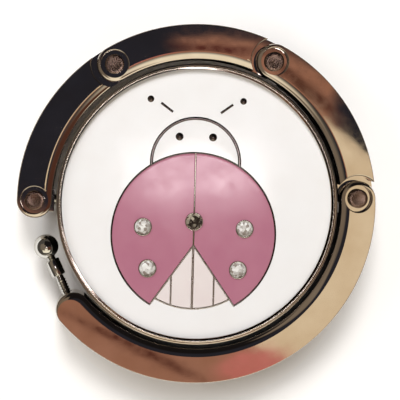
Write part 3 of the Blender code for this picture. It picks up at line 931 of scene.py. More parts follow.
@dataclass
class RingBar:
    """One bar of the ring, from one pivot to the next."""

    name: str
    body: str
    start: float
    end: float
    start_kind: BarEnd
    end_kind: BarEnd
    seat: RivetSeat = field(default_factory=RivetSeat)
    crest_steps: int = 9
    inner_turn: float = radians(50)
    lip: float = 0.16 * MM
    lip_turns: tuple[float, ...] = (0, 0.4, 0.8, 1.2, QUARTER_TURN)
    step_degrees: float = 2.0
    round_steps: int = 28

    def plan(self) -> Piece:
        """Draw the bar's outline as a flat strip with a half round at each end.

        Returns:
            The flat piece, facing up.
        """
        level = RING.lift + RING.under_chamfer
        piece = point_at(self.name, polar(RING.inner, self.start, level))
        step = polar(RING.half, self.start)
        extrude(step)
        extrude(step)
        bpy.ops.mesh.select_all(action="SELECT")
        sweep = self.end - self.start
        spin(sweep, round(abs(degrees(sweep)) / self.step_degrees), Vector((0, 0, 0)))
        for angle, turn in ((self.start, pi), (self.end, -pi)):
            close_edit()
            hub, tip = polar(RING.pivot, angle, level), polar(RING.radius, angle, level)

            def on_end(point: bpy.types.MeshVertex, hub: Vector = hub, tip: Vector = tip) -> bool:
                """Whether a point is the hub or the outer corner of this end."""
                return min((point.co - hub).length, (point.co - tip).length) < MERGE

            edit(piece, Pick.POINTS, on_end)
            spin(turn, self.round_steps, hub)
        close_edit()
        tidy_mesh(piece)
        if piece.data.polygons[0].normal.z < 0:
            change(piece, bpy.ops.mesh.flip_normals, Pick.FACES)
        return piece

    def raise_walls(self, piece: Piece) -> None:
        """Extrude the plan to the crest and chamfer the underside.

        Args:
            piece: The flat piece.
        """
        crest = RING.top - RING.crest_drop
        change(piece, extrude, Pick.FACES, step=(0, 0, crest - RING.lift - RING.under_chamfer))
        tidy_mesh(piece)
        chamfer = {"thickness": RING.under_chamfer, "depth": RING.under_chamfer}
        change(piece, bpy.ops.mesh.inset, Pick.FACES, lambda face: face.normal.z < -LEVEL_RISE, **chamfer)

    def round_crest(self, piece: Piece) -> None:
        """Inset the top step by step: rounded outside, and a wide curved slope with a crease inside.

        Args:
            piece: The piece with its walls.
        """
        edit(piece, Pick.FACES, lambda face: face.normal.z > LEVEL_RISE)
        centre_line = RING.pivot
        outside, inside, height = 0.0, 0.0, 0.0
        for step in range(1, self.crest_steps + 1):
            turn = QUARTER_TURN * step / self.crest_steps
            inner_turn = asin(sin(turn) * sin(self.inner_turn))
            outer_run = RING.outer_inset * (1 - cos(turn)) - outside
            inner_run = RING.inner_inset * (1 - cos(inner_turn)) / (1 - cos(self.inner_turn)) - inside
            up = RING.crest_drop * sin(turn) - height
            bpy.ops.mesh.inset(thickness=(outer_run + inner_run) / 2, depth=up)
            shift = (inner_run - outer_run) / 2
            stretch = (centre_line + shift) / centre_line
            bpy.ops.transform.resize(value=(stretch, stretch, 1), center_override=(0, 0, 0))
            centre_line += shift
            outside, inside, height = outside + outer_run, inside + inner_run, height + up
        close_edit()

    def cut_lap(self, piece: Piece, angle: float, kind: BarEnd) -> None:
        """Clear the layer that the neighbour takes up, and sink the rivet's seat.

        Args:
            piece: The bar.
            angle: Where this end's pivot stands.
            kind: How this end meets its neighbour.
        """
        centre = polar(RING.pivot, angle)
        radius = RING.lap_radius
        if kind is BarEnd.UPPER_LAP:
            cut(piece, rod("lap_cutter", radius, RING.below, RING.upper_bottom, centre))
        elif kind is BarEnd.LOWER_LAP:
            cut(piece, flared_well(radius, RING.lower_top, self.lip, self.lip_turns, centre, 96))
        elif kind is BarEnd.LUG:
            cut(piece, rod("lug_cutter", SwivelBlock().room, RING.below, RING.upper_bottom, centre, 64))
            cut(piece, SwivelBlock().room_beside(RING.below, RING.upper_bottom))
        if kind is not BarEnd.PLAIN:
            self.seat.sink(piece, centre, kind is not BarEnd.LOWER_LAP)

    def build(self) -> Piece:
        """Build the bar.

        Returns:
            The finished bar.
        """
        piece = self.plan()
        self.raise_walls(piece)
        self.round_crest(piece)
        self.cut_lap(piece, self.start, self.start_kind)
        self.cut_lap(piece, self.end, self.end_kind)
        if self.end_kind is BarEnd.PLAIN:
            cut(piece, BallTip().stem_bore())
        tidy_mesh(piece, ON_PLANE, 4)
        self.mark_crease(piece)
        smooth(piece)
        return piece

    @staticmethod
    def mark_crease(piece: Piece) -> None:
        """Keep the borders of the flat top sharp, so that it mirrors like a flat.

        Args:
            piece: The bar.
        """
        points = piece.data.vertices

        def on_crease(edge: bpy.types.MeshEdge) -> bool:
            """Whether both ends of an edge lie in the flat top."""
            return all(RING.top - points[i].co.z < ON_PLANE for i in edge.vertices)

        change(piece, bpy.ops.mesh.mark_sharp, Pick.EDGES, on_crease)

    @staticmethod
    def is_shaded_throat(face: Face) -> bool:
        """Whether a face stands upright towards the medallion, below the shoulder, where the gap's shade is
        painted.
        """
        return abs(face.center.xy.length - RING.inner) < WALL_REACH and abs(face.normal.z) < UPRIGHT_RISE


@dataclass
class Rivet:
    """Solid rivet, its head in the upper counterbore and its foot peened into the lower one."""

    shank: float = 0.6 * MM
    head: float = 1.2 * MM
    foot: float = 1.0 * MM
    head_height: float = 0.5 * MM
    rounding: float = 0.14 * MM
    sink: float = 0.05 * MM
    dish: float = 0.03 * MM
    dish_share: float = 0.6
    foot_gap: float = 0.1 * MM

    def build(self, centre: Vector) -> Piece:
        """Turn the rivet.

        Args:
            centre: Axis of its pivot.

        Returns:
            The rivet.
        """
        top, bottom = RING.top - self.sink, RING.lift + self.sink
        foot_top = RING.lift + RivetSeat().under_depth - self.foot_gap
        profile = [(0, bottom + self.dish), (self.foot * self.dish_share, bottom + self.dish / 2)]
        profile += fillet((self.foot - self.rounding, bottom + self.rounding), -90, 90, self.rounding)
        profile += [(self.foot, foot_top), (self.shank, foot_top), (self.shank, top - self.head_height)]
        profile += [(self.head, top - self.head_height)]
        profile += fillet((self.head - self.rounding, top - self.rounding), 0, 90, self.rounding)
        profile += [(self.head * self.dish_share, top - self.dish * 0.7), (0, top - self.dish)]
        piece = turned("rivet", profile, centre, 64)
        smooth(piece, 40)
        return piece


@dataclass
class SwivelBlock:
    """Lug between the first bar and the medallion, with its stop heel."""

    half_width: float = 1.45 * MM
    seat_gap: float = 0.3 * MM
    opening: float = radians(40)
    stop_margin: float = radians(2)
    heel_angle: float = radians(215)
    edge: float = 0.12 * MM

    @property
    def room(self) -> float:
        """Radius of the space round the lug."""
        return self.half_width + self.seat_gap

    def room_beside(self, below: float, above: float) -> Piece:
        """Space beside the lug and past its stop, as one upright prism.

        Args:
            below: Height at which the prism starts.
            above: Height at which it ends.

        Returns:
            The prism.
        """
        far = 2 * RING.half
        stop = polar(far, self.heel_angle - self.opening - self.stop_margin)
        corners = ((0, 0), stop.xy, (-far, -far), (far, -far), (far, self.room), (0, self.room))
        angle = pivot_angle("first_bar_pivot")
        centre = polar(RING.pivot, angle)
        turn = Matrix.Rotation(angle + pi, 2)
        places = [Vector((*(centre.xy + turn @ Vector(corner)), below)) for corner in corners]
        piece = point_at("beside_cutter", places[0])
        extrude_along(places)
        bpy.ops.mesh.edge_face_add()
        extrude((0, 0, above - below))
        close_edit()
        tidy_mesh(piece)
        return piece

    def build(self) -> Piece:
        """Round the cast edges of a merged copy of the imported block.

        Returns:
            The block.
        """
        piece = copy_of(frame["nodes"]["swivel_block"], "swivel_block_cast")
        tidy_mesh(piece)
        change(piece, bpy.ops.mesh.dissolve_limited, Pick.FACES, angle_limit=radians(1))
        modify(piece, "BEVEL", width=self.edge, segments=3, limit_method="ANGLE", angle_limit=radians(50))
        smooth(piece)
        return piece


@dataclass
class BallTip:
    """Turned stem with a screwed shank, a collar, a neck and a ball."""

    ball: float = 1.55 * MM
    neck: float = 0.5 * MM
    neck_length: float = 0.3 * MM
    neck_corner: float = 0.08 * MM
    collar: float = 0.88 * MM
    collar_length: float = 2.2 * MM
    rounding: float = 0.2 * MM
    stem: float = 0.6 * MM
    thread_depth: float = 0.1 * MM
    thread_pitch: float = 0.35 * MM
    bore_depth: float = 2.0 * MM
    bore_gap: float = 0.1 * MM
    ball_gap: float = 0.5 * MM
    hook_end_angle: float = radians(-140)
    ball_angle: float = radians(-164.4)
    ball_steps: int = 28

    @property
    def base(self) -> Vector:
        """Middle of the hook's round end."""
        return polar(RING.pivot, self.hook_end_angle, RING.middle)

    @property
    def line(self) -> Vector:
        """From the middle of the hook's end to the middle of the ball."""
        body_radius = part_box("disc_body")[1].x
        return polar(body_radius + self.ball_gap + self.ball, self.ball_angle, RING.middle) - self.base

    def lay_down(self, piece: Piece) -> Piece:
        """Turn an upright piece onto the stem's line.

        Args:
            piece: The piece, upright at the origin.

        Returns:
            The same piece, laid down.
        """
        lie = Matrix.Rotation(atan2(self.line.y, self.line.x), 4, "Z") @ Matrix.Rotation(QUARTER_TURN, 4, "Y")
        piece.matrix_world = Matrix.Translation(self.base) @ lie
        only(piece)
        bpy.ops.object.transform_apply(location=True, rotation=True, scale=True)
        return piece

    def stem_bore(self) -> Piece:
        """Cutter for the hole that the stem is screwed into."""
        floor = RING.half - self.bore_depth - self.bore_gap
        return self.lay_down(rod("stem_bore", self.stem + self.bore_gap, floor, 2 * RING.half, steps=32))

    def build(self) -> Piece:
        """Turn the tip and lay it along its line.

        Returns:
            The tip.
        """
        reach = self.line.length
        collar_end = reach - sqrt(self.ball**2 - self.neck**2) - self.neck_length
        collar_start = collar_end - self.collar_length
        root = self.stem - self.thread_depth
        height = RING.half - self.bore_depth
        profile = [(0, height), (root, height)]
        while height + self.thread_pitch < collar_start - self.thread_pitch / 2:
            for share, radius in ((0.3, self.stem), (0.5, self.stem), (0.8, root), (1.0, root)):
                profile.append((radius, height + share * self.thread_pitch))
            height += self.thread_pitch
        profile += [(root, collar_start)]
        inner = self.collar - self.rounding
        profile += fillet((inner, collar_start + self.rounding), -90, 90, self.rounding)
        profile += fillet((inner, collar_end - self.rounding), 0, 90, self.rounding)
        profile += [(self.neck + self.neck_corner, collar_end), (self.neck, collar_end + self.neck_corner)]
        first = pi - asin(self.neck / self.ball)
        tilts = [first * (1 - i / self.ball_steps) for i in range(self.ball_steps)]
        profile += [(self.ball * sin(tilt), reach + self.ball * cos(tilt)) for tilt in tilts]
        profile.append((0, reach + self.ball))
        piece = self.lay_down(turned("ball_tip_turned", profile, steps=48))
        tidy_mesh(piece)
        smooth(piece, 50)
        return piece


@dataclass
class Ring:
    """The four bars, their rivets, the swivel's lug and pin, and the ball tip."""

    finishes: Finishes

    def bars(self) -> list[RingBar]:
        """List the bars.

        Returns:
            The bars in their order from the medallion to the hook.
        """
        joints = ("first_bar_pivot", "second_bar_pivot", "third_bar_pivot", "hook_pivot")
        first, second, third, fourth = (pivot_angle(joint) for joint in joints)
        upper, lower = BarEnd.UPPER_LAP, BarEnd.LOWER_LAP
        return [
            RingBar("left_link", "first_bar", first, second, BarEnd.LUG, lower),
            RingBar("top_link", "second_bar", second, third, upper, lower),
            RingBar("right_link", "third_bar", third, fourth, upper, lower),
            RingBar("hook_link", "hook", fourth, BallTip().hook_end_angle, upper, BarEnd.PLAIN),
        ]

    def rivets(self) -> None:
        """Turn one rivet and copy it to each pivot."""
        rivets = (
            ("rivet_d", "first_bar_pivot", "swivel"),
            ("rivet_a", "second_bar_pivot", "first_bar"),
            ("rivet_b", "third_bar_pivot", "second_bar"),
            ("rivet_c", "hook_pivot", "third_bar"),
        )
        home = joint_place(rivets[0][1])
        model = Rivet().build(Vector((home.x, home.y, 0)))
        for name, joint, body in rivets:
            there = joint_place(joint)
            piece = copy_of(model, f"{name}_peened", Vector((there.x - home.x, there.y - home.y, 0)))
            place_piece(piece, self.finishes.rivet, body, "rivet", name)
        bpy.data.objects.remove(model)

    def build(self) -> None:
        """Build and dress every piece of the ring."""
        for bar in self.bars():
            piece = bar.build()
            piece.name = f"{bar.name}_polished"
            place_piece(piece, self.finishes.nickel, bar.body, "nickel", bar.name)
            # The throat takes the near-black nickel: painted shade in the gap
            second_finish(piece, self.finishes.gap_shade_nickel, bar.is_shaded_throat)
        self.rivets()
        place_piece(SwivelBlock().build(), self.finishes.nickel, "swivel", "nickel", "swivel_block")
        place_piece(BallTip().build(), self.finishes.chrome, "hook", "chromed_ball", "ball_tip")
        frame["nodes"]["swivel_pin"].data.materials.clear()
        frame["nodes"]["swivel_pin"].data.materials.append(self.finishes.steel)
        log.info("swivel_pin: packed node in turned steel")


# The medallion


@dataclass
class DiscBody:
    """Cast body with a raised, stepped rim, a plate recess in front and a pad recess behind."""

    finishes: Finishes
    radius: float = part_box("disc_body")[1].x
    lift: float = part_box("disc_body")[0].z
    top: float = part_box("disc_body")[1].z
    rim_width: float = 0.5 * MM
    rim_round: float = 0.12 * MM
    groove: float = 0.05 * MM
    groove_place_share: float = 0.45
    back_round: float = 0.3 * MM
    plate_floor: float = 4.1 * MM
    pad_recess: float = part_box("grip_pad")[1].x + 0.3 * MM
    pad_depth: float = 1.0 * MM
    bore: float = 0.8 * MM
    bore_length: float = 6 * MM
    pocket: tuple[float, float, float] = (1.8 * MM, 2.4 * MM, 2.2 * MM)
    pocket_drop: float = 0.1 * MM

    def profile(self) -> list[Pair]:
        """Draw the section through the body.

        Returns:
            Its points, from the pad recess's ceiling round by the back's outer edge to the plate's floor.
        """
        recess, rim, back = self.radius - self.rim_width, self.rim_round, self.back_round
        groove_middle = recess + self.rim_width * self.groove_place_share
        points = [(0, self.lift + self.pad_depth), (self.pad_recess, self.lift + self.pad_depth)]
        points += fillet((self.pad_recess + rim, self.lift + rim), 180, 90, rim, 3)
        points += fillet((self.radius - back, self.lift + back), -90, 90, back)
        points += fillet((self.radius - rim, self.top - rim), 0, 90, rim, 5)
        points += [
            (groove_middle + self.groove, self.top),
            (groove_middle, self.top - self.groove),
            (groove_middle - self.groove, self.top - self.groove / 2),
        ]
        points += fillet((recess + self.groove, self.top - self.groove * 1.5), 90, 90, self.groove, 3)
        return [*points, (recess, self.plate_floor), (0, self.plate_floor)]

    def build(self) -> None:
        """Turn the body, and cut the swivel's bore and the pin head's pocket."""
        piece = turned("disc_body_cast", self.profile(), steps=180)
        height = joint_place("ring_swivel").z
        angle = pivot_angle("first_bar_pivot")
        start_clean()
        bore = {"vertices": 48, "radius": self.bore, "depth": self.bore_length}
        side = polar(self.radius, angle, height)
        bpy.ops.mesh.primitive_cylinder_add(**bore, location=side, rotation=(0, QUARTER_TURN, angle))
        cut(piece, named_primitive("swivel_bore"))
        start_clean()
        behind = polar(self.pad_recess - self.pocket[0] / 2, angle, height - self.pocket_drop)
        bpy.ops.mesh.primitive_cube_add(size=1, location=behind, rotation=(0, 0, angle))
        bpy.context.active_object.scale = self.pocket
        cut(piece, named_primitive("pin_pocket"))
        tidy_mesh(piece)
        smooth(piece, 38)
        place_piece(piece, self.finishes.nickel, "medallion", "nickel", "disc_body")
        # The upright side takes the near-black nickel: painted shade in the gap
        second_finish(piece, self.finishes.gap_shade_nickel, self.is_shaded_side)

    def is_shaded_side(self, face: Face) -> bool:
        """Whether a face is on the upright side, in the gap inside the ring, where the gap's shade is
        painted.
        """
        return abs(face.normal.z) < UPRIGHT_RISE and face.center.xy.length > self.radius - WALL_REACH


@dataclass
class GripPad:
    """Round rubber pad with rounded rings of grip grooves."""

    finishes: Finishes
    radius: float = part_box("grip_pad")[1].x
    thickness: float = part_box("grip_pad")[1].z
    edge_round: float = 0.25 * MM
    groove_pitch: float = 2.2 * MM
    groove_width: float = 0.8 * MM
    groove_depth: float = 0.3 * MM
    grooves: int = 3
    groove_shares: tuple[float, ...] = (0, 0.15, 0.3, 0.5, 0.7, 0.85, 1)

    def build(self) -> None:
        """Turn the pad."""
        profile = [(0, 0)]
        for i in range(self.grooves):
            inner = self.radius - (self.grooves - i) * self.groove_pitch
            for share in self.groove_shares:
                depth = self.groove_depth * (1 - cos(FULL_TURN * share)) / 2
                profile.append((inner + self.groove_width * share, depth))
        profile += fillet((self.radius - self.edge_round, self.edge_round), -90, 90, self.edge_round)
        profile += [(self.radius, self.thickness), (0, self.thickness)]
        piece = turned("grip_pad_moulded", profile, steps=128)
        smooth(piece, 40)
        place_piece(piece, self.finishes.rubber, "medallion", "rubber", "grip_pad")


@dataclass
class Ladybird:
    """Layout of the ladybird on the struck plate, as shares of the plate's radius."""

    plate_radius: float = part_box("emblem_plate")[1].x
    shift_shares: Pair = (-0.028, 0.0035)
    lean: float = radians(-1.6)
    wings_share: float = 0.607
    wings_drop_share: float = 0.2294
    tip_spread_share: float = 0.3118
    seam_end_share: float = 0.3059
    head_share: float = 0.3253
    head_rise_share: float = 0.3059
    abdomen_share: float = 0.5471
    bar_spacing_share: float = 0.1588
    eye_shares: Pair = (0.1235, 0.4941)
    feeler_root_shares: Pair = (0.1765, 0.6735)
    feeler_end_shares: Pair = (0.2647, 0.7382)
    feeler_dot_shares: Pair = (0.3412, 0.7647)
    stone_shares: tuple[Pair, ...] = (
        (0, -0.1294),
        (-0.3765, -0.1765),
        (0.3765, -0.1765),
        (-0.3353, -0.4824),
        (0.3353, -0.4824),
    )

    def at(self, spread_share: float, rise_share: float, height: float = 0.0) -> Vector:
        """Place on the plate, from the ladybird's axis, which leans about the wings' middle.

        Args:
            spread_share: How far to the right of the axis.
            rise_share: How far above the plate's middle.
            height: Height of the place, in metres.

        Returns:
            The place in metres.
        """
        upright = Vector((spread_share, rise_share + self.wings_drop_share))
        from_middle = Matrix.Rotation(self.lean, 2) @ upright
        across, up = self.shift_shares[0] + from_middle.x, self.shift_shares[1] + from_middle.y
        return Vector((across * self.plate_radius, (up - self.wings_drop_share) * self.plate_radius, height))

    def beside(self, side: int, shares: Pair, height: float) -> Vector:
        """Place at a pair of shares, on the left of the axis for -1 and on the right for 1."""
        return self.at(side * shares[0], shares[1], height)

    def wings_middle(self, height: float = 0.0) -> Vector:
        """Middle of the wings' round outline."""
        return self.at(0, -self.wings_drop_share, height)

    def head_middle(self, height: float = 0.0) -> Vector:
        """Middle of the head's round outline."""
        return self.at(0, self.head_rise_share, height)

    def seam_end(self, height: float = 0.0) -> Vector:
        """Lower end of the seam between the wings."""
        return self.at(0, -self.seam_end_share, height)

    def inward(self, side: int) -> Vector:
        """Direction from a wing towards the seam."""
        return (self.at(-side, 0) - self.at(0, 0)).normalized()

    def slope_normal(self, side: int) -> Vector:
        """Upward normal of a wing's inner edge."""
        along = self.at(side * self.tip_spread_share, -self.tip_drop_share) - self.seam_end()
        return Vector((-side * along.y, side * along.x, 0)).normalized()

    @property
    def tip_drop_share(self) -> float:
        """How far below the plate's middle the wings' tips lie."""
        return self.wings_drop_share + sqrt(self.wings_share**2 - self.tip_spread_share**2)

    def slope_rise_share(self, spread_share: float) -> float:
        """Height of the wings' inner edge at a spread from the axis."""
        fall = (self.tip_drop_share - self.seam_end_share) / self.tip_spread_share
        return -self.seam_end_share - fall * spread_share

    def base_rise_share(self, spread_share: float) -> float:
        """Height of the abdomen's base line at a spread from the axis."""
        return -self.wings_drop_share - sqrt(self.abdomen_share**2 - spread_share**2)

    def neck_angle(self) -> float:
        """Find where the head's line meets the wings.

        Returns:
            The angle of that point about the head's middle.
        """
        apart = self.head_rise_share + self.wings_drop_share
        height = (apart**2 + self.wings_share**2 - self.head_share**2) / (2 * apart)
        return atan2(height - apart, sqrt(self.wings_share**2 - height**2))

    def abdomen_angle(self) -> float:
        """Find where the abdomen's base line meets a wing's inner edge.

        Returns:
            The angle of that point below level, about the wings' middle.
        """
        low, high = 0.0, self.abdomen_share
        for _ in range(40):
            spread_share = (low + high) / 2
            if self.slope_rise_share(spread_share) > self.base_rise_share(spread_share):
                low = spread_share
            else:
                high = spread_share
        return atan2(sqrt(self.abdomen_share**2 - low**2), low)


@dataclass
class Emblem:
    """Struck plate with raised metal lines, and the enamel poured between them."""

    finishes: Finishes
    layout: Ladybird = field(default_factory=Ladybird)
    bottom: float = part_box("emblem_plate")[0].z
    top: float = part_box("emblem_plate")[1].z
    cell_depth: float = 0.5 * MM
    border: float = 0.06 * MM
    border_corner: float = 0.02 * MM
    line_width: float = 0.3 * MM
    head_width: float = 0.4 * MM
    fine_width: float = 0.22 * MM
    line_rise: float = 0.035 * MM
    line_sink: float = 0.02 * MM
    eye_radius: float = 0.5 * MM
    eye_rise: float = 0.14 * MM
    dot_radius: float = 0.42 * MM
    dot_rise: float = 0.12 * MM
    stud_sink: float = 0.03 * MM
    enamel_gap: float = 0.1 * MM
    enamel_sink: float = 0.03 * MM
    wall_half: float = 0.06 * MM
    bezel_lap: float = 0.02 * MM
    meniscus: float = 0.25 * MM
    meniscus_drop: float = 0.03 * MM

    @property
    def line_level(self) -> float:
        """Height of the middle of the raised lines."""
        return self.top - self.line_sink

    def plate(self) -> Piece:
        """Turn the plate with its border standing round the field.

        Returns:
            The plate.
        """
        radius, floor = self.layout.plate_radius, self.top - self.cell_depth
        inner, corner = radius - self.border, self.border_corner
        profile = [(0, self.bottom), (radius, self.bottom), (radius, self.top - 2 * corner)]
        profile += [(radius - corner, self.top), (inner + corner, self.top), (inner, self.top - corner)]
        profile += [(inner, floor), (0, floor)]
        return turned("plate", profile, steps=180)

    def outlines(self) -> list[Piece]:
        """Raise the outlines of the head and the wings, and the feelers.

        Returns:
            The lines.
        """
        lay, level, rise = self.layout, self.line_level, self.line_rise
        tip = atan2(lay.wings_drop_share - lay.tip_drop_share, lay.tip_spread_share)
        wings_span = lay.lean + tip, lay.lean + pi - tip
        neck = lay.neck_angle()
        head_span = lay.lean + neck, lay.lean + pi - neck
        wings_radius, head_radius = lay.wings_share * lay.plate_radius, lay.head_share * lay.plate_radius
        made = [
            bead_arc("wings", lay.wings_middle(level), wings_radius, wings_span, self.fine_width, rise),
            bead_arc("head", lay.head_middle(level), head_radius, head_span, self.head_width, rise),
        ]
        feeler = (lay.feeler_root_shares, lay.feeler_end_shares)
        for side in (-1, 1):
            ends = (lay.beside(side, shares, level) for shares in feeler)
            made.append(bead_line("feeler", *ends, self.line_width, rise))
        return made

    def seam(self) -> list[Piece]:
        """Raise the seam between the wings, on both sides of its stone.

        Returns:
            The two lines.
        """
        lay = self.layout
        crown = lay.wings_share - lay.wings_drop_share
        stone, reach = lay.stone_shares[0][1], Stones.bezel_outer / lay.plate_radius
        made = []
        for run in ((crown, stone + reach), (stone - reach, -lay.seam_end_share)):
            ends = (lay.at(0, share, self.line_level) for share in run)
            made.append(bead_line("seam", *ends, self.fine_width, self.line_rise))
        return made

    def inner_lines(self) -> list[Piece]:
        """Raise the wings' inner edges, the abdomen's base line and its bars.

        Returns:
            The lines.
        """
        lay, level, rise = self.layout, self.line_level, self.line_rise
        base = lay.abdomen_angle()
        span = lay.lean + base - pi, lay.lean - base
        radius = lay.abdomen_share * lay.plate_radius
        made = [bead_arc("abdomen", lay.wings_middle(level), radius, span, self.fine_width, rise)]
        for side in (-1, 1):
            wing_tip = lay.at(side * lay.tip_spread_share, -lay.tip_drop_share, level)
            made.append(bead_line("slope", lay.seam_end(level), wing_tip, self.fine_width, rise))
        for spread_share in (-lay.bar_spacing_share, 0, lay.bar_spacing_share):
            top = lay.at(spread_share, lay.slope_rise_share(abs(spread_share)), level)
            foot = lay.at(spread_share, lay.base_rise_share(spread_share), level)
            width = self.line_width if spread_share == 0 else self.fine_width
            made.append(bead_line("bar", top, foot, width, rise))
        return made

    def studs(self) -> list[Piece]:
        """Raise the eyes and the ends of the feelers.

        Returns:
            The studs.
        """
        lay, level = self.layout, self.top - self.stud_sink
        kinds = (
            ("eye", lay.eye_shares, self.eye_radius, self.eye_rise),
            ("dot", lay.feeler_dot_shares, self.dot_radius, self.dot_rise),
        )
        made = []
        for side in (-1, 1):
            for name, shares, radius, rise in kinds:
                made.append(dome(name, lay.beside(side, shares, level), radius, rise))
        return made

    def cake(self, name: str, middle: Vector, radius: float, cuts: list[tuple[Vector, Vector]]) -> Piece:
        """Round cake of enamel whose surface curls down at its edge, trimmed by upright planes.

        Args:
            name: The piece's name.
            middle: Middle of the round outline.
            radius: Radius of the round outline.
            cuts: A point of each plane, and the side of it that goes.

        Returns:
            The trimmed cake, closed.
        """
        floor = self.top - self.cell_depth + self.enamel_gap
        level = self.top - self.enamel_sink
        profile = [(0, floor), (radius, floor)]
        for share in (0, 0.2, 0.4, 0.7, 1):
            profile.append((radius - self.meniscus * share, level - self.meniscus_drop * (1 - share) ** 2))
        profile += [(radius / 2, level), (0, level)]
        piece = turned(name, profile, middle, 144)
        for point, away in cuts:
            self.trim(piece, point, away)
        tidy_mesh(piece)
        change(piece, bpy.ops.mesh.quads_convert_to_tris, Pick.FACES)
        return piece

    @staticmethod
    def trim(piece: Piece, point: Vector, away: Vector) -> None:
        """Cut off what lies on one side of an upright plane, and close the cut."""
        plane = {"plane_co": tuple(point), "plane_no": tuple(away)}
        change(piece, bpy.ops.mesh.bisect, **plane, use_fill=True, clear_outer=True, threshold=ON_PLANE)

    def cutter(self, middle: Vector, radius: float) -> Piece:
        """Upright round cutter through the enamel.

        Args:
            middle: Where its axis stands.
            radius: Its radius.

        Returns:
            The cutter.
        """
        start_clean()
        size = {"vertices": 144, "radius": radius, "depth": 4 * self.cell_depth}
        bpy.ops.mesh.primitive_cylinder_add(**size, location=(middle.x, middle.y, self.top))
        return named_primitive("enamel_cutter")

    def wing_cells(self, side: int) -> dict[str, Piece]:
        """Enamel of one wing and of the two strips beside it.

        Args:
            side: -1 for the left wing and 1 for the right one.

        Returns:
            The pieces by their node's name.
        """
        lay, half = self.layout, self.wall_half
        wings, seam_end = lay.wings_middle(), lay.seam_end()
        inward, up = lay.inward(side), lay.slope_normal(side)
        seam_cut, slope_cut = (seam_end - half * inward, inward), (seam_end + half * up, -up)
        name = "wing_enamel_left" if side < 0 else "wing_enamel_right"
        wing_radius = lay.wings_share * lay.plate_radius - half
        strip_radius = lay.abdomen_share * lay.plate_radius - half
        made = {name: self.cake(name, wings, wing_radius, [seam_cut, slope_cut])}
        for shares in lay.stone_shares:
            cut(made[name], self.cutter(lay.at(*shares), Stones.bezel_outer - self.bezel_lap))
        bar = lay.at(side * lay.bar_spacing_share, 0)
        outer, inner = (1, 2) if side < 0 else (4, 3)
        under = (seam_end - half * up, up)
        strips = {
            outer: [(bar - half * inward, inward), under],
            inner: [(bar + half * inward, -inward), seam_cut, under],
        }
        for number, sides in strips.items():
            strip = f"abdomen_enamel_{number}"
            made[strip] = self.cake(strip, wings, strip_radius, sides)
        return made

    def cells(self) -> dict[str, Piece]:
        """Enamel of each cell of the ladybird.

        Returns:
            The pieces by their node's name.
        """
        lay, half = self.layout, self.wall_half
        head = self.cake("head_cake", lay.head_middle(), lay.head_share * lay.plate_radius - half, [])
        cut(head, self.cutter(lay.wings_middle(), lay.wings_share * lay.plate_radius + half))
        return {"enamel_head": head, **self.wing_cells(-1), **self.wing_cells(1)}

    def field_cell(self) -> Piece:
        """Enamel round the ladybird, cut out along its outline.

        Returns:
            The piece.
        """
        lay, size, half = self.layout, self.layout.plate_radius, self.wall_half
        piece = self.cake("field", Vector((0, 0, 0)), size - self.border, [])
        cut(piece, self.cutter(lay.head_middle(), lay.head_share * size + half))
        cut(piece, self.cutter(lay.wings_middle(), lay.abdomen_share * size + half))
        for side in (-1, 1):
            wing = self.cutter(lay.wings_middle(), lay.wings_share * size + half)
            up = lay.slope_normal(side)
            self.trim(wing, lay.seam_end() - half * up, -up)
            cut(piece, wing)
        tidy_mesh(piece)
        return piece

    def build(self) -> None:
        """Build and dress the emblem."""
        looks = self.finishes
        plate = self.plate()
        plate.name = "emblem_plate_struck"
        place_piece(plate, looks.nickel, "medallion", "nickel", "emblem_plate")
        lines = (
            (join("emblem_outlines", [*self.outlines(), *self.studs()]), looks.line),
            (join("emblem_seam", self.seam()), looks.nickel),
            (join("emblem_inner_lines", self.inner_lines()), looks.satin),
        )
        for piece, finish in lines:
            smooth(piece, 40)
            place_piece(piece, finish, "medallion", "nickel", "emblem_plate")
        kinds = {
            "enamel": (looks.white, "white_enamel"),
            "wing": (looks.pink, "pink_enamel"),
            "abdomen": (looks.pale, "pale_enamel"),
        }
        for node, piece in {"enamel_field": self.field_cell(), **self.cells()}.items():
            finish, slot = kinds[node.split("_")[0]]
            piece.name = f"{node}_poured"
            smooth(piece, 40)
            place_piece(piece, finish, "medallion", slot, node)


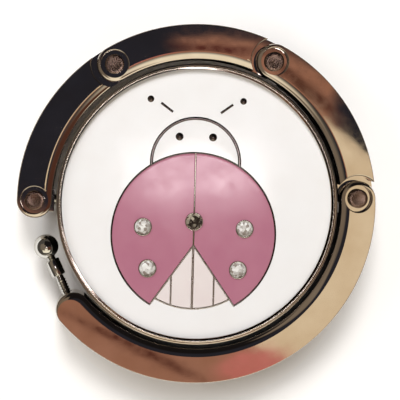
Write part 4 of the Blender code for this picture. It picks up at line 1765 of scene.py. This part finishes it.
@dataclass
class Stones:
    """Five cut stones in their bezels, the middle one held by claws."""

    finishes: Finishes
    layout: Ladybird = field(default_factory=Ladybird)
    plate_top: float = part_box("emblem_plate")[1].z
    radius: float = 1.0 * MM
    table_share: float = 0.55
    side_share: float = 0.82
    under_share: float = 0.45
    under_drop_share: float = 0.58
    crown: float = 0.4 * MM
    girdle: float = 0.06 * MM
    pavilion: float = 0.48 * MM
    lift: float = 0.02 * MM
    bezel_outer: float = 1.15 * MM
    bezel_rise: float = 0.13 * MM
    bezel_round: float = 0.09 * MM
    seat_gap: float = 0.02 * MM
    seat_depth: float = 0.1 * MM
    cup_gap: float = 0.06 * MM
    cup_wall: float = 0.05 * MM
    cup_floor: float = 0.2 * MM
    claw_radius: float = 0.16 * MM
    claw_rise: float = 0.1 * MM
    claw_place_share: float = 0.98
    claw_stretch: tuple[float, float, float] = (1.6, 0.9, 1.1)
    claws: int = 6

    def stone(self) -> Piece:
        """Cut a round brilliant at the origin: circles of corners, wrapped in a hull of flat facets.

        Returns:
            The stone.
        """
        level = self.plate_top + self.lift
        half_facet = pi / 8
        side_rise = self.crown * (1 - self.side_share * cos(half_facet)) / (1 - self.table_share)
        under = level - self.girdle - self.pavilion * self.under_drop_share
        corners = (
            (16, self.radius, level, 0),
            (16, self.radius, level - self.girdle, 0),
            (8, self.side_share * self.radius, level + side_rise, half_facet),
            (8, self.table_share * self.radius, level + self.crown, 0),
            (8, self.under_share * self.radius, under, half_facet),
        )
        rings = []
        for count, radius, height, turn in corners:
            start_clean()
            place = {"location": (0, 0, height), "rotation": (0, 0, turn)}
            bpy.ops.mesh.primitive_circle_add(vertices=count, radius=radius, **place)
            rings.append(named_primitive("facet_corners"))
        rings.append(point_at("culet", Vector((0, 0, level - self.girdle - self.pavilion))))
        close_edit()
        piece = join("stone", rings)
        change(piece, bpy.ops.mesh.convex_hull)
        tidy_mesh(piece)
        only(piece)
        bpy.ops.object.shade_flat()
        return piece

    def bezel(self) -> Piece:
        """Turn the ring that holds a stone, with its foil cup under it.

        Returns:
            The bezel.
        """
        outer, inner = self.bezel_outer, self.radius + self.seat_gap
        top, seat = self.plate_top + self.bezel_rise, self.plate_top - self.seat_gap
        cup = self.plate_top - self.girdle - self.pavilion - self.cup_gap
        profile = [(0, cup - self.cup_wall), (outer, cup - self.cup_wall), (outer, top - self.seat_depth)]
        profile += fillet((outer - self.bezel_round, top - self.bezel_round), 0, 150, self.bezel_round, 5)
        profile += [(inner, seat), (inner, self.plate_top - self.seat_depth), (self.cup_floor, cup), (0, cup)]
        piece = turned("bezel", profile, steps=48)
        smooth(piece, 45)
        return piece

    def claw_ring(self) -> Piece:
        """Bend the claws over the middle stone's girdle.

        Returns:
            The claws as one piece.
        """
        made = []
        for i in range(self.claws):
            angle = FULL_TURN * (i + 0.5) / self.claws
            place = polar(self.radius * self.claw_place_share, angle, self.plate_top + self.claw_rise)
            start_clean()
            ball = {"segments": 16, "ring_count": 10, "radius": self.claw_radius}
            bpy.ops.mesh.primitive_uv_sphere_add(**ball, location=place)
            claw = named_primitive("claw")
            inward = Matrix.Rotation(angle, 3, "Z").transposed()
            about = {"orient_matrix": inward, "center_override": tuple(place)}
            change(claw, bpy.ops.transform.resize, value=self.claw_stretch, **about)
            made.append(claw)
        piece = join("claws", made)
        smooth(piece, 60)
        return piece

    def build(self) -> None:
        """Cut one stone and one bezel, and copy them to each place."""
        stone, bezel, claws = self.stone(), self.bezel(), self.claw_ring()
        for number, shares in enumerate(self.layout.stone_shares, 1):
            place = self.layout.at(*shares)
            is_middle = number == 1
            look = self.finishes.smoky_crystal if is_middle else self.finishes.crystal
            gem = copy_of(stone, f"stone_{number}_cut", place)
            place_piece(gem, look, "medallion", "stone", f"stone_{number}")
            ring = copy_of(bezel, f"stone_{number}_bezel", place)
            place_piece(ring, self.finishes.foil, "medallion", "nickel")
            if is_middle:
                held = copy_of(claws, "stone_1_claws", place)
                place_piece(held, self.finishes.nickel, "medallion", "nickel")
        for model in (stone, bezel, claws):
            bpy.data.objects.remove(model)


# The studio


@dataclass(frozen=True)
class Card:
    """Card or soft box over the part, placed by where level metal mirrors it, in millimetres."""

    centre: Pair
    half: Pair
    colour: str
    strength: float = 1.0
    turn_degrees: float = 0.0
    softness: float = 0.15
    shape: CardShape = CardShape.SQUARE


@dataclass(frozen=True)
class SoftBox:
    """Square lamp that lights the part and stays out of sight, in metres and watts."""

    name: str
    place: tuple[float, float, float]
    size: float
    power: float

    def hang(self) -> None:
        """Hang the lamp, turned to the part."""
        lamp = bpy.data.lights.new(self.name, "AREA")
        lamp.size = self.size
        lamp.energy = self.power
        held = hold(self.name, lamp)
        held.location = self.place
        held.rotation_euler = (-Vector(self.place)).to_track_quat("-Z", "Y").to_euler()
        held.visible_camera = False
        held.visible_glossy = False


@dataclass
class Studio:
    """Camera, lamps, floor and the surroundings that the metal mirrors."""

    aim: Vector = field(default_factory=lambda: Vector((0.26 * MM, 0.61 * MM, RING.top)))
    distance: float = 180 * MM
    tilt: float = radians(5.5)
    lean: float = radians(143)
    view_width: float = 49.9 * MM
    nearest: float = 10 * MM
    sensor_mm: float = 36.0
    sky: str = "5C5650"
    sky_strength: float = 0.8
    lowest_rise: float = 0.03
    floor_size: float = 4000 * MM
    floor_drop: float = 0.05 * MM
    floor_colours: tuple[str, str] = ("E9E7E5", "E6E4E2")
    floor_glow: float = 0.32
    # Circles where the floor's glow is left out: painted shade round the ring's shadow and in the gap round
    # the medallion
    shade_middle: Pair = (0.5 * MM, -6 * MM)
    shade_reach: Pair = (17.5 * MM, 22 * MM)
    near_middle: Pair = (-6 * MM, 14 * MM)
    near_reach: Pair = (29 * MM, 34 * MM)
    gap_shade_reach: Pair = (18 * MM, 20 * MM)
    boxes: tuple[SoftBox, ...] = (
        SoftBox("key_box", (-0.04, 0.44, 0.48), 0.22, 3.5),
        SoftBox("left_box", (-0.5, 0.05, 0.36), 0.3, 1.0),
        SoftBox("front_box", (0.15, -0.5, 0.42), 0.4, 0.55),
    )

    @property
    def stand(self) -> Vector:
        """Where the camera stands."""
        away = Vector((sin(self.tilt) * cos(self.lean), sin(self.tilt) * sin(self.lean), cos(self.tilt)))
        return self.aim + away * self.distance

    @staticmethod
    def cards() -> list[Card]:
        """List what hangs over the part.

        Returns:
            The cards, each later one in front of the earlier ones.
        """
        black, deep_black, taupe = "2B2B33", "1C1919", "8F8070"
        disc = CardShape.ROUND
        return [
            Card((1500, -1500), (2400, 1500), "EFE3CF", 0.85, 45, 0.12),
            Card((0, -150), (150, 115), "F6EAD2", 1.25, softness=0.12),
            Card((-150, 10), (105, 120), taupe, 0.8, softness=0.15),
            Card((120, 160), (190, 135), deep_black, softness=0.1),
            Card((110, -45), (75, 60), "5A382C", softness=0.2),
            Card((0, 10), (42, 33), black, softness=0.15, shape=disc),
            Card((-52, 46), (26, 24), taupe, 0.9, softness=0.15),
            Card((1.4, -4.0), (24.9, 24.9), "AE7C66", softness=0.02, shape=disc),
            Card((34, 12), (17.1, 10), black, softness=0.08, shape=disc),
            Card((1.5, 19.4), (8, 0.5), "63302C", 0.8, -4, 0.6, disc),
            Card((13.6, 14.4), (5, 0.7), "5A342A", 0.8, -40, 0.6, disc),
            Card((-7.6, -17.9), (9.5, 0.5), "5C3026", 0.9, -27, 0.6, disc),
            Card((12.2, -4.0), (12.5, 13.9), "FDE6C3", 0.92, -36.7, 0.01),
            Card((7.0, -20.3), (4.6, 2.0), "D8827A", 1.0, 12, 0.35, disc),
            Card((-15, 12), (15, 14), black, 1.0, 0, 0.12, disc),
            Card((0, 0), (15.6, 15.6), black, 1.0, 0, 0.01, disc),
            Card((-0.25, 4.2), (8.4, 3.1), "FFF3F6", 8.0, 0, 0.12),
            Card((-3.6, 3.9), (0.8, 3.5), "FFF8F8", 12.5, 3, 0.6),
            Card((3.1, 3.9), (0.9, 3.5), "FFF8F8", 12.5, 3, 0.6),
        ]

    def surroundings(self) -> None:
        """Build the world: a soft pale room, and the cards by direction."""
        world = bpy.data.worlds.new("studio_room")
        bpy.context.scene.world = world
        world.use_nodes = True
        tree = world.node_tree
        tree.nodes.clear()
        direction = add_node(tree, "TexCoord").outputs["Generated"]
        parts = add_node(tree, "SeparateXYZ", {}, {0: direction}).outputs
        up = add_node(tree, "Math", {"operation": "MAXIMUM"}, {0: parts[2], 1: self.lowest_rise}).outputs[0]
        reach = (self.stand.z - self.aim.z) / MM
        mirrored = {}
        for axis in range(2):
            run = add_node(tree, "Math", {"operation": "DIVIDE"}, {0: parts[axis], 1: up}).outputs[0]
            scaled = {0: run, 1: reach, 2: self.stand[axis] / MM}
            mirrored[axis] = add_node(tree, "Math", {"operation": "MULTIPLY_ADD"}, scaled).outputs[0]
        place = add_node(tree, "CombineXYZ", {}, mirrored).outputs[0]
        colour = add_node(tree, "RGB").outputs[0]
        colour.default_value = linear(self.sky, self.sky_strength)
        for card in self.cards():
            colour = self.show(tree, card, place, colour)
        background = add_node(tree, "Background", {}, {"Color": colour, "Strength": 1.0})
        add_node(tree, "OutputWorld", {}, {"Surface": background.outputs[0]})

    @staticmethod
    def show(tree: Tree, card: Card, place: Socket, behind: Socket) -> Socket:
        """Put one card in front of what is behind it.

        Args:
            tree: The world's node tree.
            card: The card.
            place: Where level metal mirrors this direction, in millimetres.
            behind: The colour behind the card.

        Returns:
            The colour with the card in it.
        """
        inputs = {
            "Vector": place,
            "Location": (*card.centre, 0),
            "Rotation": (0, 0, radians(card.turn_degrees)),
            "Scale": (*card.half, 1),
        }
        local = add_node(tree, "Mapping", {"vector_type": "TEXTURE"}, inputs).outputs[0]
        if card.shape is CardShape.ROUND:
            out = add_node(tree, "VectorMath", {"operation": "LENGTH"}, {0: local}).outputs["Value"]
        else:
            size = add_node(tree, "VectorMath", {"operation": "ABSOLUTE"}, {0: local}).outputs[0]
            parts = add_node(tree, "SeparateXYZ", {}, {0: size}).outputs
            out = add_node(tree, "Math", {"operation": "MAXIMUM"}, {0: parts[0], 1: parts[1]}).outputs[0]
        edge = {"Value": out, "From Min": 1 + card.softness, "From Max": 1 - card.softness}
        share = add_node(tree, "MapRange", {"interpolation_type": "SMOOTHSTEP"}, edge).outputs[0]
        mixed = {0: share, 6: behind, 7: linear(card.colour, card.strength)}
        return add_node(tree, "Mix", {"data_type": "RGBA"}, mixed).outputs[2]

    def floor(self) -> None:
        """Lay the pale floor, which stays white to the eye and in the metal, and keeps its shadow."""
        start_clean()
        bpy.ops.mesh.primitive_plane_add(size=self.floor_size, location=(0, 0, -self.floor_drop))
        piece = named_primitive("studio_floor")
        made, tree, shader = new_material("paper_floor")
        path = add_node(tree, "LightPath").outputs
        place = add_node(tree, "TexCoord").outputs["Object"]
        # Seen straight, the glow leaves out the gap round the medallion and the ring's shadow. This paints
        # shade into the gap and deepens the lamps' shadow there
        seen = self.outside(tree, place, (0, 0), self.gap_shade_reach, path["Is Camera Ray"])
        seen = self.outside(tree, place, self.shade_middle, self.shade_reach, seen)
        # In the metal and through the stones it shows on the near side, where the edge mirrors it
        largest, times = {"operation": "MAXIMUM"}, {"operation": "MULTIPLY"}
        rays = {0: path["Is Glossy Ray"], 1: path["Is Transmission Ray"]}
        bent = add_node(tree, "Math", largest, rays).outputs[0]
        bent = self.outside(tree, place, self.near_middle, self.near_reach, bent)
        both = add_node(tree, "Math", largest, {0: seen, 1: bent}).outputs[0]
        surface = {
            "Base Color": mottled(tree, 6.0, 4.0, *self.floor_colours),
            "Roughness": 0.9,
            "Emission Color": (1, 1, 1, 1),
            "Emission Strength": add_node(tree, "Math", times, {0: both, 1: self.floor_glow}).outputs[0],
        }
        feed(tree, shader, surface)
        piece.data.materials.append(made)

    @staticmethod
    def outside(tree: Tree, place: Socket, middle: Pair, reach: Pair, share: Socket) -> Socket:
        """Fade a share out inside a circle on the floor.

        Args:
            tree: The floor's node tree.
            place: Where the floor is seen.
            middle: Middle of the circle.
            reach: Radii at which the share starts to show and shows in full.
            share: What is faded.

        Returns:
            The faded share.
        """
        away = add_node(tree, "VectorMath", {"operation": "DISTANCE"}, {0: place, 1: (*middle, 0)})
        span = {"Value": away.outputs["Value"], "From Min": reach[0], "From Max": reach[1]}
        shown = add_node(tree, "MapRange", {"interpolation_type": "SMOOTHSTEP"}, span).outputs[0]
        return add_node(tree, "Math", {"operation": "MULTIPLY"}, {0: share, 1: shown}).outputs[0]

    def camera(self) -> None:
        """Stand the camera at the picture's angle, its top towards +Y."""
        lens = bpy.data.cameras.new("camera")
        lens.sensor_width = self.sensor_mm
        lens.lens = self.sensor_mm * self.distance / self.view_width
        lens.clip_start = self.nearest
        held = hold("camera", lens)
        back = (self.stand - self.aim).normalized()
        right = Vector((0, 1, 0)).cross(back).normalized()
        turn = Matrix((right, back.cross(right), back)).transposed()
        held.matrix_world = Matrix.Translation(self.stand) @ turn.to_4x4()
        bpy.context.scene.camera = held

    def build(self) -> None:
        """Set up the studio."""
        self.surroundings()
        self.floor()
        for box in self.boxes:
            box.hang()
        self.camera()
        bpy.context.scene.view_settings.view_transform = "Standard"
        log.info("studio: camera at %s", tuple(round(c, 4) for c in self.stand))


def main() -> None:
    """Build the studio and the finishes, then the sub-assemblies in order."""
    Studio().build()
    finishes = Finishes()
    for assembly in (Ring, DiscBody, GripPad, Emblem, Stones):
        assembly(finishes).build()
    start_clean()


if __name__ == "__main__":
    main()
